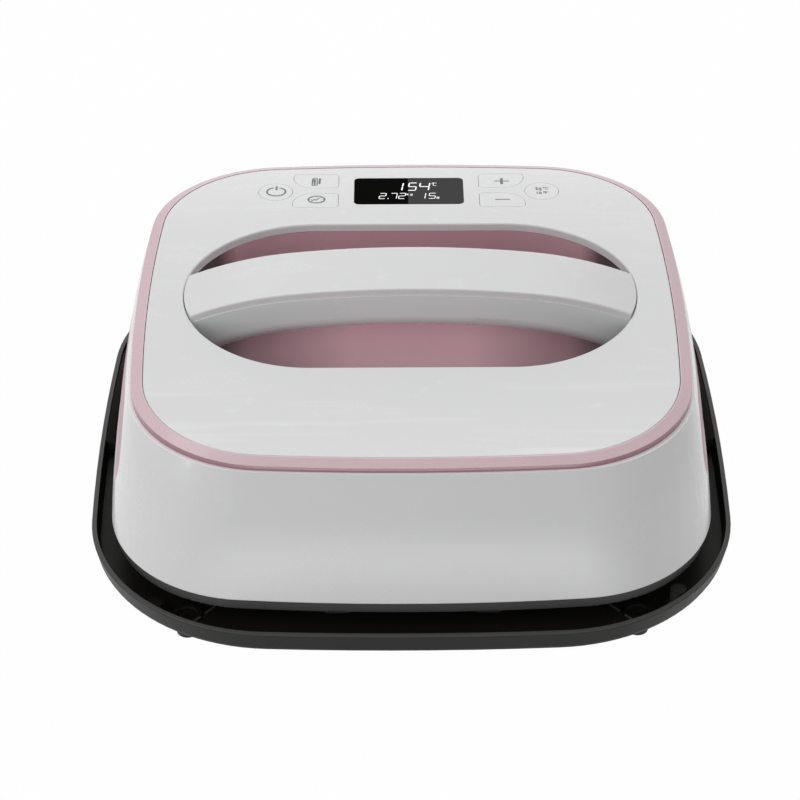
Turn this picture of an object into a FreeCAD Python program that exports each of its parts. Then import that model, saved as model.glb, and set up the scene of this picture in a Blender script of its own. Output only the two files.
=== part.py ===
import FreeCAD, Part

import math
import os
import re

import Sketcher
from FreeCAD import Placement, Rotation, Vector

# A flat craft heat press that stands in its safety base tray.
# X runs to the right, Y to the rear and Z up, in millimetres.
# The origin lies under the middle of the press, on the surface that the tray's feet stand on.

SIZES = {
    # deck panel
    "deck_height": 93.6,
    "deck_half": 119.6,
    "deck_side": 1000,
    "deck_corner": 56,
    "crown_radius": 3000,
    "panel_wall": 2.5,
    "deck_rim_depth": 5.0,
    "deck_rim_width": 2.7,
    "deck_edge_round": 0.5,
    "opening_edge_round": 0.9,
    "seam_gap": 0.2,
    # accent ring
    "ring_overhang": 5.3,
    "ring_slope_width": 4.6,
    "ring_slope_drop": 1.6,
    "ring_foot_depth": 6.5,
    "ring_ledge": 3.5,
    # skirt
    "skirt_ledge": 1.3,
    "skirt_head_corner": 60.5,
    "skirt_shoulder_half": 130.7,
    "skirt_shoulder_corner": 61,
    "skirt_shoulder_depth": 22,
    "skirt_waist_half": 134.4,
    "skirt_waist_side": 900,
    "skirt_waist_corner": 62,
    "skirt_waist_depth": 44,
    "skirt_foot_half": 137.8,
    "skirt_foot_side": 900,
    "skirt_foot_corner": 65,
    "skirt_foot_height": 24.9,
    "skirt_wall": 2.6,
    "skirt_foot_round": 2.2,
    "flange_thick": 2.5,
    "flange_half": 112,
    "flange_corner": 62,
    "flange_notch_length": 122,
    "flange_notch_width": 20,
    "flange_notch_row": 113.8,
    # side inlays
    "inlay_length": 171.5,
    "inlay_width": 39.3,
    "inlay_drop": 33.2,
    "inlay_shift": 3.6,
    "inlay_seat": 1.6,
    "inlay_sink": 0.4,
    "inlay_gap": 0.2,
    # handle opening and tub
    "opening_length": 208,
    "opening_width": 119,
    "opening_shift": 3.7,
    "lip_wall": 2.0,
    "lip_depth": 4.6,
    "tub_depth": 42,
    "tub_wall": 2.2,
    "tub_draft": 2,
    "tub_round": 12,
    "tub_flange_depth": 6.4,
    "tub_flange_thick": 2,
    "tub_flange_width": 9.2,
    "tub_flange_end": 5,
    "tub_screw_out": 5.8,
    "tub_screw_spread": 42,
    # handle
    "handle_width": 35.4,
    "handle_shift": -0.3,
    "handle_rise": 15.6,
    "handle_thick": 22.5,
    "handle_knee": 55,
    "arch_radius": 520,
    "shoulder_radius": 166,
    "belly_radius": 430,
    "heel_radius": 127,
    "cover_depth": 3.4,
    "cover_wall": 2.0,
    "cover_round": 0.8,
    "handle_wall": 3.0,
    "handle_round": 8,
    "handle_step": -0.4,
    "handle_seam": 0.1,
    "handle_gap": 0.3,
    "handle_solid_end": 16,
    "tongue_width": 30,
    "tongue_thick": 8,
    "tongue_drop": 13.5,
    "tongue_reach": 122,
    "tongue_screw_x": 116.5,
    "tongue_screw_y": 9,
    "tongue_boss_diameter": 8,
    # display
    "window_length": 53.2,
    "window_width": 25.9,
    "window_corner": 2.5,
    "window_row": 95.1,
    "window_foot_depth": 3.6,
    "window_margin": 3.2,
    "window_gap": 0.15,
    "window_frame": 3,
    "window_frame_depth": 6.2,
    # keys
    "round_key_diameter": 16.4,
    "round_key_x": 65,
    "round_key_row": 94.5,
    "key_row": 95.7,
    "key_x": 45.4,
    "key_pitch": 19,
    "key_length": 22,
    "key_width": 13.4,
    "key_corner": 2.2,
    "key_cove": 10,
    "key_gap": 0.2,
    "key_flange": 0.9,
    "key_flange_thick": 1.2,
    "key_foot_depth": 6.4,
    "key_stem_diameter": 4,
    "key_travel_room": 0.6,
    # control board
    "board_top_depth": 12,
    "board_thick": 1.6,
    "board_length": 168,
    "board_width": 36,
    "board_row": 94.5,
    "board_corner": 4,
    "board_end_screw_x": 79,
    "board_end_screw_row": 96,
    "board_mid_screw_x": 20,
    "board_mid_screw_row": 79.2,
    "board_boss_diameter": 6,
    "switch_side": 6,
    "switch_body": 3.4,
    "switch_plunger": 0.9,
    "switch_plunger_diameter": 3.5,
    "lcd_length": 50,
    "lcd_width": 25,
    "lcd_gap": 0.3,
    # screws
    "screw_diameter": 2.9,
    "screw_hole": 3.4,
    "screw_pilot": 3.0,
    "screw_head": 5.6,
    "screw_head_thick": 1.8,
    "screw_socket": 2.4,
    "screw_bite": 5,
    "short_screw_bite": 1.5,
    "base_screw_bite": 12,
    "deck_screw_inset": 24,
    "deck_boss_diameter": 6,
    "boss_screw_x": 60,
    "boss_screw_y": 127.3,
    "boss_diameter": 7,
    # base frame
    "frame_base": 20,
    "frame_half": 136.6,
    "frame_side": 900,
    "frame_corner": 63.6,
    "frame_bay_half": 128.6,
    "frame_bay_corner": 54.4,
    "frame_bay_depth": 4.2,
    "frame_flange_thick": 2.4,
    "frame_window_half": 122.8,
    "frame_window_corner": 48.6,
    "frame_upstand": 6,
    "frame_upstand_wall": 2.4,
    "frame_fit": 1.5,
    "frame_round": 1.0,
    # heating plate and what lies on it
    "plate_half": 127,
    "plate_side": 800,
    "plate_corner": 52.8,
    "plate_base": 15.6,
    "plate_thick": 6.5,
    "plate_round": 1.5,
    "element_diameter": 6.4,
    "element_pitch": 28,
    "element_reach": 80,
    "element_sink": 0.2,
    "element_gap": 0.1,
    "terminal_diameter": 9,
    "terminal_length": 17,
    "terminal_pin": 3,
    "terminal_pin_length": 9,
    "mica_thick": 0.8,
    "mica_half": 120,
    "insulation_thick": 11.6,
    "insulation_half": 121,
    "inner_corner": 47,
    "shield_height": 38.2,
    "shield_thick": 1.2,
    "shield_half": 131.4,
    "shield_corner": 61.5,
    "post_inset": 30,
    "post_diameter": 7,
    "post_hole": 10,
    "post_bore_depth": 8,
    "cell_side": 28,
    "cell_thick": 2.6,
    "cell_slot": 1.6,
    "cell_tongue": 13,
    "sensor_length": 14,
    "sensor_width": 9,
    "sensor_thick": 2.6,
    "thermistor_row": 24,
    "fuse_row": -22,
    # power board
    "power_length": 120,
    "power_width": 34,
    "power_row": 86,
    "standoff_length": 8.6,
    "standoff_diameter": 6,
    "standoff_inset": 4,
    "transformer_length": 26,
    "transformer_width": 22,
    "transformer_height": 20,
    "transformer_x": -34,
    "relay_length": 19,
    "relay_width": 15.5,
    "relay_height": 15.5,
    "relay_x": 2,
    "relay_shift": -8,
    "terminal_block_length": 12,
    "terminal_block_width": 20,
    "terminal_block_height": 12,
    "terminal_block_x": 44,
    "capacitor_diameter": 13,
    "capacitor_height": 22,
    "capacitor_x": 25,
    "buzzer_diameter": 12,
    "buzzer_height": 8,
    "buzzer_x": 2,
    "buzzer_shift": 9.5,
    # cord entry
    "gland_clearance": 0.8,
    "gland_face": 137.6,
    "gland_pad_diameter": 26,
    "gland_hole": 14.4,
    "gland_barrel": 14,
    "gland_flange": 20,
    "gland_flange_thick": 3,
    "gland_bore": 7.2,
    "gland_length": 18,
    "gland_nut": 21,
    "gland_nut_thick": 4,
    "gland_nut_play": 0.05,
    "gland_pad_depth": 2,
    "clamp_row": 110,
    "clamp_length": 18,
    "clamp_width": 7,
    "clamp_cover": 3.4,
    # tray
    "tray_base": 4.8,
    "tray_rim_height": 15.5,
    "tray_rim_half": 147,
    "tray_foot_half": 145.2,
    "tray_side": 1330,
    "tray_corner": 84.5,
    "tray_wall": 2.3,
    "tray_foot_round": 2.5,
    "tray_rim_round": 0.8,
    "tray_floor": 2.4,
    "plateau_rise": 2.6,
    "plateau_hollow_half": 117,
    "plateau_margin": 15,
    "well_mouth_inset": 24.2,
    "well_waist_inset": 60.2,
    "well_reach_inset": 27.2,
    "foot_inset_x": 46.7,
    "foot_inset_y": 21.2,
    "foot_diameter": 11.2,
    "foot_taper": 0.6,
    "foot_recess": 1.9,
    "well_ring": 12.6,
    "well_ring_bore": 9.2,
    "well_ring_recess": 1.2,
    "wall_post_inset_x": 32.2,
    "wall_post_inset_y": 25.2,
    "wall_post_diameter": 7,
    "wall_post_drop": 3,
    "tall_post_inset_x": 28.2,
    "tall_post_inset_y": 31.2,
    "tall_post_drop": 1.5,
    "well_rib_width": 0.9,
    "well_rib_rise": 1,
    "well_rib_length": 4.6,
    "well_rib_gap": 2.4,
    "slot_x": 33,
    "slot_inset": 23.2,
    "slot_length": 12,
    "slot_width": 5,
    "ledge_width": 7.5,
    "ledge_rim": 0.8,
    "ledge_drop": 4.5,
    "ledge_front": -4,
    "ledge_rear": 76,
    # resting mat
    "mat_half": 117,
    "mat_side": 800,
    "mat_corner": 46,
    "mat_thick": 5.5,
}

AXES = {"XY_Plane": "z", "XZ_Plane": "y", "YZ_Plane": "x"}
TURNS = {
    "XY_Plane": Rotation(),
    "XZ_Plane": Rotation(Vector(1, 0, 0), 90),
    "YZ_Plane": Rotation(Vector(1, 1, 1), 120),
}
SIDES = (-1, 1)
CORNERS = ((-1, -1), (1, -1), (-1, 1), (1, 1))

# How far the crowned deck has fallen at its front and rear edges.
CROWN_SAG = "(crown_radius - sqrt(crown_radius * crown_radius - deck_half * deck_half))"
# The level of the shield's back, on which the load cells and the boards stand.
SHIELD_TOP = "(shield_height + shield_thick)"
# The level of the cord's axis where it enters through the rear wall.
CORD_LEVEL = "(shield_height + shield_thick + gland_pad_diameter / 2 + gland_clearance)"
# The level of the element's middle, and of the mica sheet's foot above it.
ELEMENT_LEVEL = "(plate_base + plate_thick - element_sink)"
MICA_LOW = "(plate_base + plate_thick - element_sink + element_diameter / 2 + element_gap)"

DOC = FreeCAD.newDocument("heat_press")
SHEET = DOC.addObject("Spreadsheet::Sheet", "Sizes")
NODES = []


# ---- the sheet of sizes ----


def fill_sheet():
    for line, (name, number) in enumerate(SIZES.items(), start=1):
        SHEET.set("A%d" % line, name.replace("_", " "))
        SHEET.set("B%d" % line, str(number))
        SHEET.setAlias("B%d" % line, name)
    DOC.recompute()


def linked(text):
    """The formula with each named size pointing into the sheet."""
    return re.sub(r"[a-z][a-z0-9_]*", lambda word: "Sizes." + word[0] if word[0] in SIZES else word[0], text)


def value(text):
    return float(SHEET.evalExpression(text))


def bind(item, prop, text):
    item.setExpression(prop, linked(text))


def signed(sign, text):
    return "(%s)" % text if sign > 0 else "-(%s)" % text


def node(item, label):
    """Names a finished sub-part and puts it on the list that is written out."""
    item.Label = label
    NODES.append(item)
    return item


# ---- sketches ----


def new_sketch(host, name, role="XY_Plane", place="0"):
    """An empty sketch across one axis at a given place, in a body or straight in the document."""
    if host is None:
        sketch = DOC.addObject("Sketcher::SketchObject", name)
        sketch.Placement = Placement(Vector(), TURNS[role])
        bind(sketch, "Placement.Base." + AXES[role], place)
        return sketch
    sketch = host.newObject("Sketcher::SketchObject", name)
    plane = [item for item in host.Origin.OriginFeatures if item.Role == role][0]
    sketch.AttachmentSupport = [(plane, "")]
    sketch.MapMode = "FlatFace"
    bind(sketch, "AttachmentOffset.Base.z", signed(-1 if role == "XZ_Plane" else 1, place))
    return sketch


def limit(sketch, constraint, text):
    number = sketch.addConstraint(constraint)
    sketch.setExpression("Constraints[%d]" % number, linked(text))


def hold(sketch, line, point, x_text, y_text):
    """Ties one point of a sketch element to a place given by two formulas."""
    for kind, text in (("DistanceX", x_text), ("DistanceY", y_text)):
        number = value(text)
        if number < 0:
            limit(sketch, Sketcher.Constraint(kind, line, point, -1, 1, -number), "-(%s)" % text)
        else:
            limit(sketch, Sketcher.Constraint(kind, -1, 1, line, point, number), text)


def add_arc(sketch, centre, radius, start, end):
    return sketch.addGeometry(Part.ArcOfCircle(Part.Circle(centre, Vector(0, 0, 1), radius), start, end), False)


def add_line(sketch, start, end):
    return sketch.addGeometry(Part.LineSegment(start, end), False)


def bowed_square(host, name, half, side, corner, place):
    """A square with slightly bowed sides and round corners: eight arcs, each tangent to the next."""
    sketch = new_sketch(host, name, "XY_Plane", place)
    reach, side_radius, corner_radius = value(half), value(side), value(corner)
    back = reach - side_radius
    inner = (back + math.sqrt(2 * (side_radius - corner_radius) ** 2 - back**2)) / 2
    sweep = math.atan2(inner, inner - back)
    sides, corners = [], []
    for quarter in range(4):
        turn = math.pi / 2 * quarter
        spin = Rotation(Vector(0, 0, 1), math.degrees(turn))
        side_centre = spin.multVec(Vector(back, 0, 0))
        corner_centre = spin.multVec(Vector(inner, inner, 0))
        sides.append(add_arc(sketch, side_centre, side_radius, turn - sweep, turn + sweep))
        corners.append(add_arc(sketch, corner_centre, corner_radius, turn + sweep, turn + math.pi / 2 - sweep))
    for quarter in range(4):
        sketch.addConstraint(Sketcher.Constraint("Tangent", sides[quarter], 2, corners[quarter], 1))
        sketch.addConstraint(Sketcher.Constraint("Tangent", corners[quarter], 2, sides[(quarter + 1) % 4], 1))
        sketch.addConstraint(Sketcher.Constraint("PointOnObject", sides[quarter], 3, -1 - quarter % 2))
        limit(sketch, Sketcher.Constraint("Radius", sides[quarter], side_radius), side)
        limit(sketch, Sketcher.Constraint("Radius", corners[quarter], corner_radius), corner)
    depth = "(%s) - (%s)" % (side, half)
    limit(sketch, Sketcher.Constraint("DistanceX", sides[0], 3, -1, 1, -back), depth)
    limit(sketch, Sketcher.Constraint("DistanceY", sides[1], 3, -1, 1, -back), depth)
    limit(sketch, Sketcher.Constraint("DistanceX", -1, 1, sides[2], 3, -back), depth)
    limit(sketch, Sketcher.Constraint("DistanceY", -1, 1, sides[3], 3, -back), depth)
    return sketch


def stadium(host, name, length, width, place, across="0", along="0", role="XY_Plane"):
    """A slot outline: two straight runs along the sketch's first axis and two half-round ends."""
    sketch = new_sketch(host, name, role, place)
    radius = value(width) / 2
    run = value(length) / 2 - radius
    x, y = value(across), value(along)
    right = add_arc(sketch, Vector(x + run, y, 0), radius, -math.pi / 2, math.pi / 2)
    top = add_line(sketch, Vector(x + run, y + radius, 0), Vector(x - run, y + radius, 0))
    left = add_arc(sketch, Vector(x - run, y, 0), radius, math.pi / 2, 3 * math.pi / 2)
    bottom = add_line(sketch, Vector(x - run, y - radius, 0), Vector(x + run, y - radius, 0))
    chain = (right, top, left, bottom)
    for number in range(4):
        sketch.addConstraint(Sketcher.Constraint("Tangent", chain[number], 2, chain[(number + 1) % 4], 1))
    sketch.addConstraint(Sketcher.Constraint("Horizontal", top))
    half_width = "(%s) / 2" % width
    reach = "((%s) - (%s)) / 2" % (length, width)
    for arc in (right, left):
        limit(sketch, Sketcher.Constraint("Radius", arc, radius), half_width)
    hold(sketch, right, 3, "(%s) + %s" % (across, reach), along)
    far = "(%s) - %s" % (across, reach)
    if value(far) < 0:
        limit(sketch, Sketcher.Constraint("DistanceX", left, 3, -1, 1, -value(far)), "-(%s)" % far)
    else:
        limit(sketch, Sketcher.Constraint("DistanceX", -1, 1, left, 3, value(far)), far)
    return sketch


def rounded_box(host, name, length, width, corners, place, across="0", along="0"):
    """A rectangle with four rounded corners, whose radii run from the right rear corner to the left."""
    sketch = new_sketch(host, name, "XY_Plane", place)
    x, y = value(across), value(along)
    half_x, half_y = value(length) / 2, value(width) / 2
    quadrants = ((1, 1), (-1, 1), (-1, -1), (1, -1))
    radii = [value(text) for text in corners]
    arcs, ends = [], []
    for number, (sign_x, sign_y) in enumerate(quadrants):
        radius = radii[number]
        centre = Vector(x + sign_x * (half_x - radius), y + sign_y * (half_y - radius), 0)
        start = math.pi / 2 * number
        arcs.append(add_arc(sketch, centre, radius, start, start + math.pi / 2))
        ends.append([centre + Vector(math.cos(a), math.sin(a), 0) * radius for a in (start, start + math.pi / 2)])
    lines = [add_line(sketch, ends[number][1], ends[(number + 1) % 4][0]) for number in range(4)]
    for number in range(4):
        sketch.addConstraint(Sketcher.Constraint("Tangent", arcs[number], 2, lines[number], 1))
        sketch.addConstraint(Sketcher.Constraint("Tangent", lines[number], 2, arcs[(number + 1) % 4], 1))
        sketch.addConstraint(Sketcher.Constraint("Vertical" if number % 2 else "Horizontal", lines[number]))
        limit(sketch, Sketcher.Constraint("Radius", arcs[number], radii[number]), corners[number])
    for corner, (sign_x, sign_y) in ((0, (1, 1)), (2, (-1, -1))):
        x_text = "(%s) %+d * ((%s) / 2 - (%s))" % (across, sign_x, length, corners[corner])
        y_text = "(%s) %+d * ((%s) / 2 - (%s))" % (along, sign_y, width, corners[corner])
        hold(sketch, arcs[corner], 3, x_text, y_text)
    return sketch


def circles(host, name, diameter, places, place, role="XY_Plane"):
    """Circles of one diameter, each round a place given by two formulas."""
    sketch = new_sketch(host, name, role, place)
    radius = value(diameter) / 2
    for x_text, y_text in places:
        centre = Vector(value(x_text), value(y_text), 0)
        circle = sketch.addGeometry(Part.Circle(centre, Vector(0, 0, 1), radius), False)
        hold(sketch, circle, 3, x_text, y_text)
        limit(sketch, Sketcher.Constraint("Diameter", circle, 2 * radius), diameter)
    return sketch


def polygon(host, name, points, place="0", role="XY_Plane"):
    """A straight-sided outline through points that are each given by two formulas."""
    sketch = new_sketch(host, name, role, place)
    spots = [Vector(value(x_text), value(y_text), 0) for x_text, y_text in points]
    count = len(spots)
    lines = [add_line(sketch, spots[number], spots[(number + 1) % count]) for number in range(count)]
    for number, (x_text, y_text) in enumerate(points):
        sketch.addConstraint(Sketcher.Constraint("Coincident", lines[number - 1], 2, lines[number], 1))
        hold(sketch, lines[number], 1, x_text, y_text)
    return sketch


def add_arch(sketch, apex, radius, shoulder, knee, reach):
    """Three tangent arcs that rise in the middle and fall to both sides; returns the two outer arcs."""
    top, big, small, bend, end = (value(text) for text in (apex, radius, shoulder, knee, reach))
    tilt = math.asin(bend / big)
    knee_height = top - big * (1 - math.cos(tilt))
    inset = bend - small * math.sin(tilt)
    centre_height = knee_height - small * math.cos(tilt)
    fall = math.acos((end - inset) / small)
    quarter = math.pi / 2
    middle = add_arc(sketch, Vector(0, top - big, 0), big, quarter - tilt, quarter + tilt)
    right = add_arc(sketch, Vector(inset, centre_height, 0), small, fall, quarter - tilt)
    left = add_arc(sketch, Vector(-inset, centre_height, 0), small, quarter + tilt, math.pi - fall)
    sketch.addConstraint(Sketcher.Constraint("Tangent", right, 2, middle, 1))
    sketch.addConstraint(Sketcher.Constraint("Tangent", middle, 2, left, 1))
    sketch.addConstraint(Sketcher.Constraint("PointOnObject", middle, 3, -2))
    height = "(%s) - (%s)" % (apex, radius)
    limit(sketch, Sketcher.Constraint("DistanceY", middle, 3, -1, 1, big - top), "-(%s)" % height)
    limit(sketch, Sketcher.Constraint("Radius", middle, big), radius)
    for arc in (right, left):
        limit(sketch, Sketcher.Constraint("Radius", arc, small), shoulder)
    limit(sketch, Sketcher.Constraint("DistanceX", -1, 1, middle, 1, bend), knee)
    limit(sketch, Sketcher.Constraint("DistanceX", middle, 2, -1, 1, bend), knee)
    limit(sketch, Sketcher.Constraint("DistanceX", -1, 1, right, 1, end), reach)
    limit(sketch, Sketcher.Constraint("DistanceX", left, 2, -1, 1, end), reach)
    return left, right


def arched_band(host, name, upper, lower, reach):
    """The outline between two arches, closed by an upright line at each end."""
    sketch = new_sketch(host, name, "XZ_Plane", "0")
    upper_left, upper_right = add_arch(sketch, *upper, reach)
    lower_left, lower_right = add_arch(sketch, *lower, reach)
    for first, second, point in ((upper_left, lower_left, 2), (upper_right, lower_right, 1)):
        start = sketch.getPoint(first, point)
        end = sketch.getPoint(second, point)
        line = add_line(sketch, start, end)
        sketch.addConstraint(Sketcher.Constraint("Coincident", first, point, line, 1))
        sketch.addConstraint(Sketcher.Constraint("Coincident", second, point, line, 2))
    return sketch


# ---- features in a body ----


def new_body(label):
    return DOC.addObject("PartDesign::Body", label)


def feature(body, kind, name):
    item = body.newObject("PartDesign::" + kind, name)
    body.Tip = item
    return item


def pad(body, sketch, length, kind="Pad", side="One side", reverse=False):
    item = feature(body, kind, sketch.Name + "_" + kind.lower())
    item.Profile = sketch
    item.SideType = side
    item.Reversed = reverse
    bind(item, "Length", length)
    return item


def pocket(body, sketch, length, side="One side", reverse=False):
    return pad(body, sketch, length, "Pocket", side, reverse)


def loft(body, sections, kind="AdditiveLoft", ruled=False):
    item = feature(body, kind, sections[0].Name + "_loft")
    item.Profile = (sections[0], [""])
    item.Sections = [(section, [""]) for section in sections[1:]]
    item.Ruled = ruled
    return item


def edges_where(shape, test):
    return [number for number, edge in enumerate(shape.Edges, start=1) if test(edge)]


def round_off(body, radius, test, kind="Fillet"):
    """Rounds or bevels the edges of the body so far that pass the test."""
    DOC.recompute()
    base = body.Tip
    found = edges_where(base.Shape, test)
    item = feature(body, kind, body.Name + "_" + kind.lower())
    item.Base = (base, ["Edge%d" % number for number in found])
    bind(item, "Radius" if kind == "Fillet" else "Size", radius)
    return item


def at_height(text):
    """A test for edges that lie flat at one height."""
    height = value(text)
    return lambda edge: max(abs(edge.BoundBox.ZMin - height), abs(edge.BoundBox.ZMax - height)) < 0.01


def turned(label, points, x_text="0", y_text="0"):
    """A body turned about an upright axis, from an outline of radius and height pairs."""
    body = new_body(label)
    sketch = polygon(body, label + "_outline", points, "0", "XZ_Plane")
    item = feature(body, "Revolution", label + "_turn")
    item.Profile = sketch
    item.ReferenceAxis = (sketch, ["V_Axis"])
    bind(body, "Placement.Base.x", x_text)
    bind(body, "Placement.Base.y", y_text)
    return body


# ---- booleans and primitives ----


def rounded(label, base, radius, test):
    """A copy of the shape with the edges that pass the test rounded."""
    DOC.recompute()
    item = DOC.addObject("Part::Fillet", label)
    item.Base = base
    size = value(radius)
    item.Edges = [(number, size, size) for number in edges_where(base.Shape, test)]
    return item


def combined(kind, label, items):
    """A Part boolean: MultiFuse or MultiCommon of several shapes, or a Compound that keeps them apart."""
    item = DOC.addObject("Part::" + kind, label)
    if kind == "Compound":
        item.Links = items
    else:
        item.Shapes = items
    return item


def fused(label, *items):
    return combined("MultiFuse", label, list(items))


def common(label, *items):
    return combined("MultiCommon", label, list(items))


def grouped(label, items):
    return combined("Compound", label, items)


def cut(label, base, tool):
    item = DOC.addObject("Part::Cut", label)
    item.Base = base
    item.Tool = tool
    return item


def extruded(label, sketch, length, back="0"):
    item = DOC.addObject("Part::Extrusion", label)
    item.Base = sketch
    item.DirMode = "Normal"
    item.Solid = True
    bind(item, "LengthFwd", length)
    bind(item, "LengthRev", back)
    return item


def placed(item, x_text, y_text, z_text):
    for axis, text in zip("xyz", (x_text, y_text, z_text)):
        bind(item, "Placement.Base." + axis, text)
    return item


def box(label, length, width, height, x_text, y_text, z_text):
    """A block, given by the middle of its foot."""
    item = DOC.addObject("Part::Box", label)
    bind(item, "Length", length)
    bind(item, "Width", width)
    bind(item, "Height", height)
    return placed(item, "(%s) - (%s) / 2" % (x_text, length), "(%s) - (%s) / 2" % (y_text, width), z_text)


def rod(label, diameter, length, x_text, y_text, z_text):
    """An upright round bar, given by the middle of its foot."""
    item = DOC.addObject("Part::Cylinder", label)
    bind(item, "Radius", "(%s) / 2" % diameter)
    bind(item, "Height", length)
    return placed(item, x_text, y_text, z_text)


def screw(label, x_text, y_text, seat, length, up=True):
    """A socket screw whose head bears on its seat; the shank runs up from it, or down."""
    head_low = "(%s) - screw_head_thick" % seat if up else seat
    shank_low = seat if up else "(%s) - (%s)" % (seat, length)
    socket_low = head_low if up else "(%s) + screw_head_thick - screw_socket_depth" % seat
    socket_low = socket_low.replace("screw_socket_depth", "screw_head_thick * 0.6")
    head = rod(label + "_head", "screw_head", "screw_head_thick", x_text, y_text, head_low)
    shank = rod(label + "_shank", "screw_diameter", length, x_text, y_text, shank_low)
    socket = DOC.addObject("Part::Prism", label + "_socket")
    socket.Polygon = 6
    bind(socket, "Circumradius", "screw_socket / 2")
    bind(socket, "Height", "screw_head_thick * 0.6")
    placed(socket, x_text, y_text, socket_low)
    return cut(label, fused(label + "_blank", head, shank), socket)


def screws(label, places, seat, length, up=True):
    """A group of like screws, each a solid of its own."""
    items = [screw("%s_%d" % (label, number), x, y, seat, length, up) for number, (x, y) in enumerate(places, start=1)]
    return node(grouped(label, items), label)


def crown(label, drop="0"):
    """A lying cylinder whose top line is the crowned surface of the deck, lowered by a drop."""
    item = DOC.addObject("Part::Cylinder", label)
    item.Placement = Placement(Vector(), Rotation(Vector(0, 1, 0), 90))
    bind(item, "Radius", "crown_radius")
    bind(item, "Height", "4 * deck_half")
    return placed(item, "-2 * deck_half", "0", "deck_height - (%s) - crown_radius" % drop)


# ---- places that several pieces share ----


def deck_screw_places():
    place = "deck_half - deck_screw_inset"
    return [(signed(x, place), signed(y, place)) for x, y in CORNERS]


def tub_screw_places():
    rows = [
        "opening_shift - opening_width / 2 - tub_screw_out",
        "opening_shift + opening_width / 2 + tub_screw_out",
    ]
    return [(signed(x, "tub_screw_spread") if x else "0", row) for row in rows for x in (-1, 0, 1)]


def board_screw_places():
    ends = [(signed(x, "board_end_screw_x"), "board_end_screw_row") for x in SIDES]
    return ends + [(signed(x, "board_mid_screw_x"), "board_mid_screw_row") for x in SIDES]


def base_screw_places():
    long_way = [(signed(x, "boss_screw_x"), signed(y, "boss_screw_y")) for x, y in CORNERS]
    return long_way + [(signed(x, "boss_screw_y"), signed(y, "boss_screw_x")) for x, y in CORNERS]


def tongue_screw_places():
    return [
        (signed(x, "tongue_screw_x"), "handle_shift %+d * tongue_screw_y" % y) for x, y in CORNERS
    ]


def post_places():
    place = "plate_half - post_inset"
    return [(signed(x, place), signed(y, place)) for x, y in CORNERS]


def terminal_places():
    return [(signed(x, "element_pitch * 3.5"), "element_reach - terminal_diameter / 2") for x in SIDES]


def foot_places():
    x_text, y_text = "tray_foot_half - foot_inset_x", "tray_foot_half - foot_inset_y"
    return [(signed(x, x_text), signed(y, y_text)) for x, y in CORNERS]


def key_places():
    """Each key's name, with the place of its middle."""
    rear, front = "key_row + key_pitch / 2", "key_row - key_pitch / 2"
    return {
        "power_button": ("-round_key_x", "round_key_row"),
        "units_button": ("round_key_x", "round_key_row"),
        "temperature_button": ("-key_x", rear),
        "timer_button": ("-key_x", front),
        "plus_button": ("key_x", rear),
        "minus_button": ("key_x", front),
    }


def key_outline(name, grow, place):
    """One key's outline, larger all round by grow: round, or a box with one big corner at the round key."""
    x_text, y_text = key_places()[name]
    label = name + "_outline"
    if name in ("power_button", "units_button"):
        return circles(None, label, "round_key_diameter + 2 * (%s)" % grow, [(x_text, y_text)], place)
    small, large = "key_corner + (%s)" % grow, "key_cove + (%s)" % grow
    cove = {"plus_button": 3, "minus_button": 0, "timer_button": 1, "temperature_button": 2}[name]
    corners = [large if number == cove else small for number in range(4)]
    length, width = "key_length + 2 * (%s)" % grow, "key_width + 2 * (%s)" % grow
    return rounded_box(None, label, length, width, corners, place, x_text, y_text)


# ---- the side wall's form ----


def wall_form(label, inset):
    """The side wall's outer form, drawn in by an inset: four outlines from head to foot joined by a loft."""
    body = new_body(label)
    rows = (
        ("foot", "skirt_foot_half", "skirt_foot_side", "skirt_foot_corner", "skirt_foot_height"),
        ("waist", "skirt_waist_half", "skirt_waist_side", "skirt_waist_corner", "deck_height - skirt_waist_depth"),
        ("shoulder", "skirt_shoulder_half", "skirt_waist_side", "skirt_shoulder_corner",
         "deck_height - skirt_shoulder_depth"),
        ("head", "deck_half + ring_overhang + skirt_ledge", "deck_side + ring_overhang + skirt_ledge",
         "skirt_head_corner", "deck_height - ring_foot_depth"),
    )
    sections = []
    for name, half, side, corner, place in rows:
        texts = ["%s - (%s)" % (text, inset) for text in (half, side, corner)]
        sections.append(bowed_square(body, "%s_%s" % (label, name), *texts, place))
    loft(body, sections)
    return body


def soft_edge(radius):
    """Pairs of inset and rise that step round a soft edge, from its flat to its upright side."""
    return [("%s * (1 - sin(%d))" % (radius, turn), "%s * (1 - cos(%d))" % (radius, turn)) for turn in (0, 30, 60, 90)]


def soft_foot(label):
    """A form that narrows in a soft edge at the side wall's foot and stands clear of it above."""
    body = new_body(label)
    rows = [(inset, "skirt_foot_height + " + rise) for inset, rise in soft_edge("skirt_foot_round")]
    rows.append(("0", "deck_height"))
    sections = []
    for number, (inset, place) in enumerate(rows):
        texts = ["%s - %s" % (text, inset) for text in ("skirt_foot_half", "skirt_foot_side", "skirt_foot_corner")]
        sections.append(bowed_square(body, "%s_%d" % (label, number), *texts, place))
    loft(body, sections, ruled=True)
    return body


# ---- deck, ring, skirt and inlays ----


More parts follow.
